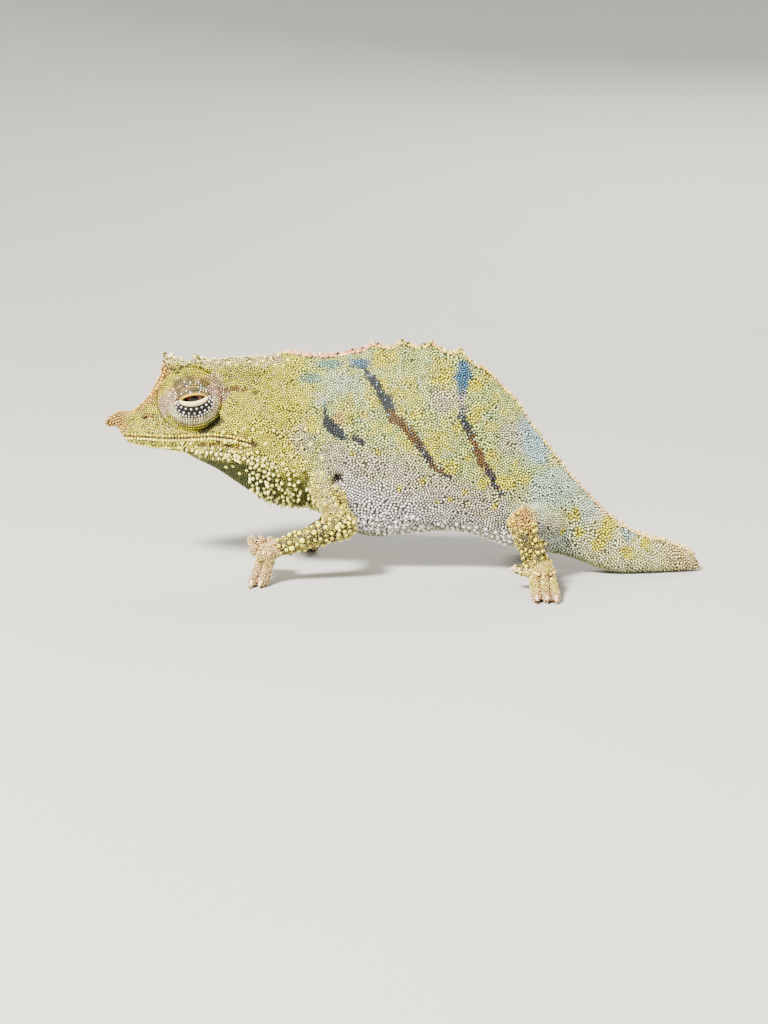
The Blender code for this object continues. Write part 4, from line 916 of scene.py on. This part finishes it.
def bead_shape(rings, top, sides=6):
    """A small raised scale of radius 1 on z = 0 as corners and triangles."""
    bm = bmesh.new()
    bmesh.ops.create_circle(bm, segments=sides, radius=rings[0][0])
    bmesh.ops.translate(bm, vec=(0, 0, rings[0][1]), verts=bm.verts)
    rim = bm.edges[:]
    for (before, _), (after, height) in zip(rings, rings[1:]):
        made = bmesh.ops.extrude_edge_only(bm, edges=rim)["geom"]
        rim = [g for g in made if isinstance(g, bmesh.types.BMEdge)]
        ring = [g for g in made if isinstance(g, bmesh.types.BMVert)]
        bmesh.ops.scale(bm, vec=(after / before, after / before, 1), verts=ring)
        for corner in ring:
            corner.co.z = height
    lid = bmesh.ops.contextual_create(bm, geom=rim)["faces"]
    middle = bmesh.ops.poke(bm, faces=lid)["verts"]
    middle[0].co.z = top
    bmesh.ops.recalc_face_normals(bm, faces=bm.faces)
    bmesh.ops.triangulate(bm, faces=bm.faces)
    if max(f.normal.z for f in bm.faces) <= 0:
        bmesh.ops.reverse_faces(bm, faces=bm.faces)
    bm.verts.index_update()
    corners = np.array([v.co for v in bm.verts])
    faces = np.array([[v.index for v in f.verts] for f in bm.faces])
    bm.free()
    return corners, faces


DOME, BOSS, CONE = 0, 1, 2
SHAPES = {
    DOME: bead_shape(((1.0, -0.35), (0.88, 0.15), (0.56, 0.52)), 0.68),
    BOSS: bead_shape(((1.0, -0.4), (0.97, 0.2), (0.75, 0.6), (0.4, 0.85)), 0.92, sides=8),
    CONE: bead_shape(((1.0, -0.5), (0.85, 0.15), (0.5, 0.6), (0.22, 0.95)), 1.05, sides=7),
}


def without(near_to, reach):
    """Drops the small scales that lie within reach of the given places."""
    tree = tree_of(scales["root"])
    gone = np.zeros(len(scales["root"]), bool)
    for place, far in zip(near_to.tolist(), reach):
        for _, i, _ in tree.find_range(place, far):
            gone[i] = True
    gone &= scales["kind"] == DOME
    for key in scales:
        scales[key] = scales[key][~gone]


def add_beads(places, radius, height, tint, kind, lean=(0, 0, 0), clear=1.12):
    """Sets larger scales at places near the skin, in room made among the small ones."""
    places, ups = onto_skin(np.array(places, float))
    count = len(places)
    size = np.broadcast_to(radius, count) * rng.uniform(0.88, 1.12, count)
    without(places, size * clear)
    ups = ups + np.array(lean)
    new = {
        "root": places,
        "up": ups / np.linalg.norm(ups, axis=1, keepdims=True),
        "part": np.array(nearest_parts(places)),
        "radius": size,
        "kind": np.full(count, kind),
        "height": np.broadcast_to(height, count) * rng.uniform(0.8, 1.2, count),
        "tint": np.clip(np.broadcast_to(tint, (count, 3)) * rng.uniform(0.85, 1.1, (count, 1)), 0, 1),
    }
    for key in scales:
        scales[key] = np.concatenate((scales[key], new[key]))


def spaced(wanted, spacing):
    """Places of some of the wanted scales, none nearer to another than spacing."""
    taken, kept = ~wanted, []
    tree = tree_of(scales["root"])
    for i in rng.permutation(len(taken)):
        if not taken[i]:
            kept.append(i)
            for _, j, _ in tree.find_range(scales["root"][i], spacing):
                taken[j] = True
    return scales["root"][kept]


def steps_along(path, pitch):
    """Evenly spaced points along a path of (x, z)."""
    path = np.array(path, float)
    runs = np.concatenate(([0], np.cumsum(np.linalg.norm(np.diff(path, axis=0), axis=1))))
    at = np.arange(0, runs[-1], pitch)
    return np.column_stack([np.interp(at, runs, path[:, k]) for k in range(2)])


def from_side(points, side):
    """Where rays from one side of the upright animal at (x, z) meet the skin."""
    hits = []
    for x, z in points:
        start, end = turned(np.array([[x, side * 20.0, z], [x, 0.0, z]]), 1)
        hit = surface.ray_cast(start, end - start)[0]
        if hit is not None:
            hits.append(hit)
    return np.array(hits)


def between(value, low, high):
    """Which values lie between two limits."""
    return (value > low) & (value < high)


def laid_out():
    """The upright x, y and z of the scales so far, which are small, and which are on the trunk."""
    small = scales["kind"] == DOME
    return *turned(scales["root"], -1).T, small, ~on_parts(scales["part"], *LIMBS)


# Larger scales stand among the small ones: two beaded lips, a fringe under the jaw, cones down the
# throat, spikes on the brow, a comb along the back, and round bosses on cheek, neck and limbs.
LIP_GAP, LIP_PITCH, LIP_BEAD = 0.24, 0.34, 0.165
LOWER_LIP = (1.0, 0.86, 0.12)
PEAK = ((-25.0, 22.6), (-24.5, 22.5), (-25.1, 22.1))
BROW_BUMPS = (
    (-22.4, 22.75), (-22.0, 22.9), (-21.6, 22.75), (-20.3, 22.6), (-18.5, 22.75), (-16.6, 22.9),
    (-15.0, 23.0),
)
BROW_ROWS = ((2.75, PEAK, 0.34, (-0.1, 0, 0.4)), (3.0, BROW_BUMPS, 0.26, (0, 0, 0.4)))
BROW_THORNS = ((-26.5, -25.2), (-23.5, -22.2))
# The rows of the fringe are their drop below the jaw's edge, pitch, bead and height.
FRINGE_ROWS = ((0.0, 0.5, 0.22, 0.32), (0.35, 0.62, 0.19, 0.3), (-0.45, 0.8, 0.17, 0.2))
CREST_FROM, CREST_TO, CREST_STEP = -13.2, 31.6, 0.27
CREST_PINK, CREST_TAN, BIB_CREAM = (0.94, 0.46, 0.24), (0.88, 0.64, 0.14), (1.0, 0.92, 0.24)
ANKLE_CREAM, PALM_CREAM, ELBOW_CREAM = (0.98, 0.70, 0.24), (0.98, 0.72, 0.26), (0.98, 0.82, 0.20)
CHEEK_YELLOW, CASQUE_CREAM = (0.98, 0.84, 0.14), (0.96, 0.82, 0.20)
ROWS_ABOVE, ROW_WIDTH, PALM_ABOVE = 2.7, 0.24, 1.6
ANKLE_HEIGHT, ELBOWS = 2.35, {LEFT: (-6.3, -6.9, 5.6), RIGHT: (-4.4, 6.9, 6.3)}
# The rows across a limb are their pitch, spacing, least and most radius, height and colour.
LIMB_ROWS = {
    "upper_arm": (0.62, 0.46, 0.13, 0.23, 0.26, (0.96, 0.78, 0.05)),
    "forearm": (0.62, 0.46, 0.14, 0.31, 0.34, (1.0, 0.84, 0.10)),
    "shank": (0.58, 0.46, 0.13, 0.25, 0.30, (0.94, 0.76, 0.05)),
}

for side in (LEFT, RIGHT):
    for rise in (LIP_GAP, -LIP_GAP):
        row = steps_along(MOUTH, LIP_PITCH)
        row = row[between(row[:, 0], -30.2, -16.3)]
        edge = from_side(row + (0, rise), side)
        add_beads(edge, LIP_BEAD, 0.16, LOWER_LIP if rise < 0 else LIP_YELLOW, BOSS)
    for drop, pitch, bead, rise in FRINGE_ROWS:
        fringe = steps_along([p for p in JAW_EDGE if p[0] > -24], pitch)
        fringe = fringe + rng.normal(0, 0.09, fringe.shape) - (0, drop)
        add_beads(from_side(fringe, side), bead, rise, CREAM, CONE, lean=(0, 0, -0.4))
    add_beads(from_side(steps_along(JAW_EDGE[:3], 0.33), side), 0.16, 0.2, LOWER_LIP, BOSS)
    for shift in (-0.25, 0.2):
        ridge = steps_along(SNOUT_RIDGE, 0.4) + (shift, 0)
        add_beads(from_side(ridge, side), 0.19, 0.2, TAN, BOSS)

x, y, z, small, trunk = laid_out()
bib = between(x, -16.6, -9.0) & (z < 12.0 - 0.12 * (x + 17)) & small & trunk
bib &= mottle(scales["root"], 1.1, 12) > 0.36
add_beads(spaced(bib, 0.5), 0.21, 0.32, BIB_CREAM, BOSS, lean=(0, 0, -0.2))
x, y, z, small, trunk = laid_out()
fringe = between(x, -16.6, -9.6) & (z < 10.2 - 0.28 * (x + 16)) & trunk
add_beads(spaced(fringe, 1.05), 0.24, 0.5, BIB_CREAM, CONE, lean=(0, 0, -0.5))
x, y, z, small, trunk = laid_out()
# The small scales of the throat below the bib turn dark olive, partly their own colour and partly painted
# shade.
dark = soft(x, -17.2, -16.2) * (1 - soft(x, -10.6, -9.4)) * (1 - soft(z - 11.2 + 0.12 * (x + 17), -0.6, 0.8))
scales["tint"] = blend(scales["tint"], THROAT_OLIVE_AND_SHADE, dark * (small & trunk) * 0.85)
cheek = between(x, -19.5, -9.0) & between(z, 10.5, 15.5) & small & (np.abs(y) > 2)
add_beads(spaced(cheek, 0.85), 0.2, 0.24, CHEEK_YELLOW, BOSS)
x, y, z, small, trunk = laid_out()
belly = on_parts(scales["part"], "torso") & small & (x < 12.0)
belly &= between(z + 0.16 * (x + 6), 4.6, 7.6) & (mottle(scales["root"], 0.9, 14) > 0.4)
add_beads(spaced(belly, 0.5), 0.24, 0.27, LILAC_WHITE, BOSS)

upright_hide = turned(hide_places, -1)
for side in (LEFT, RIGHT):
    for beside, marks, rise, lean in BROW_ROWS:
        tips = turned(np.array([(at_x, side * beside, at_z) for at_x, at_z in marks]), 1)
        add_beads(tips, 0.24, rise, CREAM, BOSS, lean=lean, clear=0.8)
    for front, back in BROW_THORNS:
        near = between(upright_hide[:, 0], front, back) & (upright_hide[:, 1] * side > 0.5)
        tip = hide_places[near][hide_places[near, 2].argmax()]
        add_beads([tip], 0.23, 0.26, CREAM, BOSS, lean=(0, 0, 0.6))
x, y, z, small, trunk = laid_out()
add_beads(spaced((x < -12.8) & (z > 21.9) & small, 0.75), 0.19, 0.18, CASQUE_CREAM, BOSS)

comb = []
for at_x in np.arange(CREST_FROM, CREST_TO, CREST_STEP):
    band = hide_places[np.abs(hide_places[:, 0] - at_x) < CREST_STEP * 0.6]
    comb.append(band[band[:, 2].argmax()])
comb = np.array(comb)
for axis in (1, 2):
    comb[1:-1, axis] = (comb[:-2, axis] + comb[1:-1, axis] * 2 + comb[2:, axis]) / 4
share = soft(comb[:, 0], -5, -1)[:, None] * (1 - soft(comb[:, 0], 13, 22))[:, None]
comb_tint = np.array(CREST_PINK) * (1 - share) + np.array(CREST_TAN) * share
comb_tint = comb_tint + (np.array(TAIL_TIP) - comb_tint) * soft(comb[:, 0], 14, 24)[:, None]
stagger = np.where(np.arange(len(comb)) % 2, 0.1, -0.1)
teeth = comb + np.column_stack((0 * stagger, stagger, 0 * stagger))
add_beads(teeth, 0.19, 0.36, comb_tint, CONE, lean=(0, 0, 0.6))
for shift in (-0.36, 0.36):
    add_beads(comb + (0.13, shift, 0), 0.17, 0.2, comb_tint, BOSS)


def in_rows(starts, pitch, spacing):
    """Places in rows across one kind of limb."""
    found = []
    for word in SIDE_WORDS:
        mask = on_parts(scales["part"], f"{starts}_{word}") & (scales["kind"] == DOME)
        mask &= scales["root"][:, 2] > ROWS_ABOVE
        places = scales["root"][mask]
        axis = np.linalg.svd(places - places.mean(axis=0), full_matrices=False)[2][0]
        along = scales["root"] @ axis + 0.25 * mottle(scales["root"], 1.0, 17)
        found.append(spaced(mask & (np.mod(along, pitch) < ROW_WIDTH), spacing))
    return np.concatenate(found)


for starts, (pitch, spacing, least, most, rise, tint) in LIMB_ROWS.items():
    rows = in_rows(starts, pitch, spacing)
    sizes = least + (most - least) * rng.random(len(rows)) ** 1.7
    add_beads(rows, sizes, rise * sizes / most, tint, BOSS)
palms = on_parts(scales["part"], *PALMS) & (scales["kind"] == DOME) & (scales["root"][:, 2] > PALM_ABOVE)
add_beads(spaced(palms, 0.7), 0.16, 0.1, PALM_CREAM, BOSS)
for word, side in SIDE_WORDS.items():
    band = on_parts(scales["part"], f"shank_{word}", f"foot_{word}")
    band &= (np.abs(scales["root"][:, 2] - ANKLE_HEIGHT) < 0.14) & (np.abs(scales["root"][:, 1]) < 11.2)
    add_beads(spaced(band, 0.34), 0.2, 0.24, ANKLE_CREAM, BOSS)
    near = np.linalg.norm(scales["root"] - ELBOWS[side], axis=1)
    add_beads(spaced((near < 1.3) & (scales["kind"] == DOME), 0.5), 0.22, 0.3, ELBOW_CREAM, BOSS)


# The scales of each part of the body are joined to one coat piece on either side. They are of satin
# horn in the colour of the skin's markings, darkened towards their bases as painted shade in the gaps, and
# full on the crowns.
GROUPS = {
    "scales_head": ("head_skin", ("head", "lower_jaw")),
    "scales_horn": ("horn_skin", ("snout_horn",)),
    "scales_neck": ("neck_skin", ("neck",)),
    "scales_flank": ("torso_skin", ("torso",)),
    "scales_tail": ("tail_skin", ("tail_root", "tail_end")),
    "scales_arm": ("limb_skin", ("upper_arm", "forearm")),
    "scales_leg": ("limb_skin", ("thigh", "shank")),
    "scales_palm": ("foot_skin", ("hand", "foot")),
}
PATCH, MOST_SCALES = 0.003, 5800
# Each scale is darkened from its crown down to its base as painted shade; these are the heights over which
# that shade fades to full colour.
CROWN_SHADE_FROM_TO = {DOME: (0.0, 0.68), BOSS: (0.0, 0.68), CONE: (-0.4, 0.3)}
GAP_PAINTED_SHADE = (0.05, 0.042, 0.035, 1)

coat, coat_shader, wire = new_material(
    "scale_coat", Coat_Weight=0.08, Coat_Roughness=0.2, Specular_IOR_Level=0.3
)
tint = wire.attribute("tint")
grain = wire.noise(12000.0, 3.0)
# Painted shade: the base of each scale takes its colour squared and dimmed, and the crown the full colour.
shaded_gap = wire.mix(1.0, wire.mix(1.0, tint, tint, "MULTIPLY"), GAP_PAINTED_SHADE, "MULTIPLY")
lit = wire.mix(wire.attribute("crown", "Fac"), shaded_gap, tint)
feed_grained(coat_shader, lit, grain, 0.25, bump=(0.3, 0.015))
feed(coat_shader, Roughness=0.45 + grain * 0.2)


def on_unwrap(places, names):
    """Each place on an unwrap of the skin: every part rolled out round its own length, side by side."""
    flat = np.zeros((len(places), 2))
    kinds = sorted(set(names))
    for column, name in enumerate(kinds):
        here = names == name
        middle = places[here].mean(axis=0)
        axes = np.linalg.svd(places[here] - middle, full_matrices=False)[2]
        along, across, over = ((places[here] - middle) @ axes.T).T
        rolled = np.column_stack((along, np.arctan2(over, across)))
        low, high = rolled.min(axis=0), rolled.max(axis=0)
        rolled = 0.01 + 0.98 * (rolled - low) / np.maximum(high - low, 1e-6)
        flat[here] = np.column_stack(((column + rolled[:, 0]) / len(kinds), rolled[:, 1]))
    return flat


def coat_piece(name, slot, bits, flat):
    """One joined mesh of the scales in bits, each with its patch of the unwrap at flat."""
    corners, faces, tints, crowns, spots, base = [], [], [], [], [], 0
    for kind, (shape, shape_faces) in SHAPES.items():
        of_kind = bits["kind"] == kind
        root, up, radius, height, tint = (
            bits[key][of_kind] for key in ("root", "up", "radius", "height", "tint")
        )
        if not len(root):
            continue
        first = np.cross(up, rng.normal(size=up.shape))
        first /= np.linalg.norm(first, axis=1, keepdims=True)
        second = np.cross(up, first)
        place = root[:, None] + radius[:, None, None] * (
            shape[:, 0, None] * first[:, None] + shape[:, 1, None] * second[:, None]
        )
        place = place + shape[:, 2, None] * height[:, None, None] * up[:, None]
        corners.append(place.reshape(-1, 3))
        faces.append((shape_faces + base + np.arange(len(root))[:, None, None] * len(shape)).reshape(-1, 3))
        bright = np.minimum(tint * rng.uniform(0.5, 1.35, (len(root), 1)), 1.0)
        tints.append(np.repeat(bright, len(shape), axis=0))
        crowns.append(np.tile(soft(shape[:, 2], *CROWN_SHADE_FROM_TO[kind]), len(root)))
        patch = flat[of_kind][:, None] + shape[:, :2] * PATCH / 2
        spots.append(patch.reshape(-1, 2))
        base += len(root) * len(shape)
    corners, faces = np.concatenate(corners) * MM, np.concatenate(faces)
    corners[:, 2] = np.maximum(corners[:, 2], 0.0)
    mesh = bpy.data.meshes.new(name)
    mesh.vertices.add(len(corners))
    mesh.vertices.foreach_set("co", corners.ravel())
    mesh.loops.add(faces.size)
    mesh.loops.foreach_set("vertex_index", faces.ravel())
    mesh.polygons.add(len(faces))
    mesh.polygons.foreach_set("loop_start", np.arange(0, faces.size, 3))
    mesh.update(calc_edges=True)
    mesh.shade_smooth()
    paint(mesh, np.concatenate(tints))
    mesh.attributes.new("crown", "FLOAT", "POINT").data.foreach_set("value", np.concatenate(crowns))
    unwrap = mesh.uv_layers.new(name="OFBake")
    unwrap.data.foreach_set("uv", np.concatenate(spots)[faces.ravel()].ravel())
    mesh.materials.append(coat)
    piece = bpy.data.objects.new(name, mesh)
    bpy.context.scene.collection.objects.link(piece)
    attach(piece, "root")


for group, (slot, names) in GROUPS.items():
    of_group = on_parts(scales["part"], *names)
    for word, on_side in (("left", scales["root"][:, 1] < 0), ("right", scales["root"][:, 1] >= 0)):
        chosen = np.flatnonzero(of_group & on_side)
        chosen = chosen[np.argsort(scales["root"][chosen, 0])]
        lengths = np.array_split(chosen, math.ceil(len(chosen) / MOST_SCALES))
        for number, length in enumerate(lengths, 1):
            bits = {key: values[length] for key, values in scales.items()}
            name = f"{group}_{word}" if len(lengths) == 1 else f"{group}_{word}_{number}"
            coat_piece(name, slot, bits, on_unwrap(bits["root"], bits["part"]))


# The turrets carry rings of finer scales round the slit, some of them white above it, and three rows of
# round white beads on the dark crescent under the lower lid. Each turret's are one joined piece.
RING_FROM, RING_PITCH, RING_BEAD, RING_JITTER = 0.3, 0.28, (0.115, 0.145), 0.03
# The crescent's rows are how far out they swing, their pitch and their beads' radius.
CRESCENT_ROWS = ((0.72, 0.50, 0.125), (1.18, 0.50, 0.12), (1.5, 0.3, 0.1))
CRESCENT_FROM, BEAD_RISE, TURRET_UNWRAP = 0.42, 1.1, 14
for word, side in SIDE_WORDS.items():
    rings = []
    for out in np.arange(RING_FROM, SHEET_END - 0.1, RING_PITCH * 0.9):
        turn = np.linspace(0, 2 * math.pi, 400)
        along = np.hypot(*np.diff(ring_point(out, turn), axis=1))
        run = np.concatenate(([0], np.cumsum(along)))
        count = int(run[-1] / RING_PITCH)
        angle = np.interp((np.arange(count) + rng.random()) / count * run[-1], run, turn)
        rings.append(np.column_stack((out + rng.uniform(-RING_JITTER, RING_JITTER, count), angle)))
    out, angle = np.concatenate(rings).T
    colour, dark, lid = turret_colour(out, angle, side)
    keep = (lid < 0.3) & (dark < 0.4)
    upright = turret_place(*ring_point(out, angle), side, 0 * out)
    keep &= upright[:, 1] * side > skin_depth(upright, side) - 0.03
    out, angle, colour = out[keep], angle[keep], colour[keep]
    pale = rng.random(len(out)) < 0.03 + 0.2 * (np.sin(angle) > 0.1) * (out < 1.7)
    colour[pale] = blend(colour[pale], WHITE_BEAD, np.full(pale.sum(), 0.75))
    size = rng.uniform(*RING_BEAD, len(out))
    kind = np.full(len(out), DOME)
    for row, (beyond, pitch, big) in enumerate(CRESCENT_ROWS):
        count = int(2 * math.pi * (SLIT_HALF + beyond * 0.7) / pitch)
        row_angle = (np.arange(count) + 0.5 * row) * 2 * math.pi / count
        row_low = -np.sin(row_angle)
        row_out = CRESCENT_FROM + (beyond - CRESCENT_FROM) * soft(row_low, -0.35, 0.75)
        row_keep = row_low > -0.12 + 0.25 * row
        out = np.concatenate((out, row_out[row_keep]))
        angle = np.concatenate((angle, row_angle[row_keep]))
        colour = np.concatenate((colour, plain(WHITE_BEAD, row_keep.sum())))
        size = np.concatenate((size, np.full(row_keep.sum(), big)))
        kind = np.concatenate((kind, np.full(row_keep.sum(), BOSS)))
    u, v = ring_point(out, angle)
    places, ups = on_turret(u, v, side, np.full(len(u), SHEET_SINK))
    bits = {"root": places, "up": ups, "radius": size, "tint": colour, "kind": kind}
    bits["height"] = size * BEAD_RISE
    coat_piece(f"scales_turret_{word}", "turret_skin", bits, np.column_stack((u, v)) / TURRET_UNWRAP + 0.5)


# The ball behind the slit is wet and nearly black, with a thin dark red ring of iris round the pupil.
# Only a sliver of it shows between the lids.
PUPIL, IRIS = 0.42, 0.85
IRIS_RED, BALL_DARK, PUPIL_BLACK = (0.10, 0.018, 0.008), (0.02, 0.005, 0.004), (0.003, 0.002, 0.002)
wet, wet_shader, wire = new_material("wet_eye", Roughness=0.22, Specular_IOR_Level=0.3)
feed_grained(wet_shader, wire.attribute("tint"), wire.noise(9000.0), 0.4)
for word, side in SIDE_WORDS.items():
    bm = bmesh.new()
    bmesh.ops.create_uvsphere(bm, u_segments=48, v_segments=32, radius=BALL_RADIUS)
    bmesh.ops.rotate(bm, matrix=Matrix.Rotation(math.radians(90), 3, "X"), verts=bm.verts)
    off_axis = [math.hypot(v.co.x, v.co.z) if v.co.y * side > 0 else BALL_RADIUS for v in bm.verts]
    off_axis = np.array(off_axis)
    middle = turned(np.array([[GAZE_X, side * BALL_Y, GAZE_Z]]), 1)[0]
    bmesh.ops.translate(bm, vec=middle, verts=bm.verts)
    bmesh.ops.scale(bm, vec=(MM,) * 3, verts=bm.verts)
    ball = add_object(f"ball_{word}", bm, wet)
    colour = blend(plain(PUPIL_BLACK, len(off_axis)), IRIS_RED, soft(off_axis, PUPIL, PUPIL + 0.08))
    paint(ball.data, blend(colour, BALL_DARK, soft(off_axis, IRIS, IRIS + 0.12)))
    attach(ball, "root")
    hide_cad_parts(f"eye_{word}")


# Each toe ends in a short hooked claw of pale horn, two in one bundle of a foot and three in the other.
# It is set into the toe's tip, and is darker at its point.
CLAW_LENGTH, CLAW_RADIUS, CLAW_STEPS, CLAW_SIDES = 1.05, 0.18, 8, 10
CLAW_HOOK = math.radians(62)
CLAW_RISE, CLAW_OUT, CLAW_THINS, CLAW_TAPER = 0.18, 0.42, 0.95, 1.6
CLAW_TAN, CLAW_PALE, CLAW_TIP = (0.70, 0.46, 0.26, 1), (0.88, 0.68, 0.46, 1), (0.26, 0.14, 0.07, 1)
horn, horn_shader, wire = new_material(
    "claw_horn", Roughness=0.3, Coat_Weight=0.4, Coat_Roughness=0.2,
    Subsurface_Weight=0.2, Subsurface_Radius=(0.0004, 0.0003, 0.0002),
)
pale = wire.mix(wire.noise(6000.0), CLAW_TAN, CLAW_PALE)
feed(horn_shader, Base_Color=wire.mix(wire.attribute("toward_tip", "Fac") * 0.35, pale, CLAW_TIP))


def claw(bm, root, heading, tip_layer):
    """A hooked cone that grows from root and bends down."""
    heading = Vector(heading).normalized()
    across = heading.cross(Vector((0, 0, 1))).normalized()
    made = bmesh.ops.create_circle(bm, cap_ends=True, segments=CLAW_SIDES, radius=CLAW_RADIUS)["verts"]
    turn = heading.to_track_quat("Z", "Y").to_matrix()
    bmesh.ops.rotate(bm, matrix=turn, verts=made)
    bmesh.ops.translate(bm, vec=root - heading * CLAW_RADIUS, verts=made)
    rim = list({e for v in made for e in v.link_edges})
    centre = root - heading * CLAW_RADIUS
    for step in range(1, CLAW_STEPS + 1):
        share, before = step / CLAW_STEPS, (step - 1) / CLAW_STEPS
        bent = Matrix.Rotation(-CLAW_HOOK * share, 3, across) @ heading
        onward = bent * (CLAW_LENGTH / CLAW_STEPS)
        grown = bmesh.ops.extrude_edge_only(bm, edges=rim)["geom"]
        rim = [g for g in grown if isinstance(g, bmesh.types.BMEdge)]
        ring = [g for g in grown if isinstance(g, bmesh.types.BMVert)]
        width = (1 - share**CLAW_TAPER * CLAW_THINS) / (1 - before**CLAW_TAPER * CLAW_THINS)
        centre = centre + onward
        for v in ring:
            v.co = centre + (v.co + onward - centre) * width
            v.co.z = max(v.co.z, 0.02)
            v[tip_layer] = share
    bmesh.ops.contextual_create(bm, geom=rim)


for limb in TOES:
    for word, side in SIDE_WORDS.items():
        bm = bmesh.new()
        tip_layer = bm.verts.layers.float.new("toward_tip")
        for _, path in toe_paths(limb, side):
            heading = Vector(path[2] - path[1]).normalized()
            heading.z = max(heading.z, -0.3)
            root = Vector(path[2]) + Vector((0, 0, CLAW_RISE)) + heading * CLAW_OUT
            claw(bm, root, heading, tip_layer)
        bmesh.ops.recalc_face_normals(bm, faces=bm.faces)
        bmesh.ops.scale(bm, vec=(MM,) * 3, verts=bm.verts)
        claws = add_object(f"claws_{limb}_{word}", bm, horn)
        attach(claws, "root")
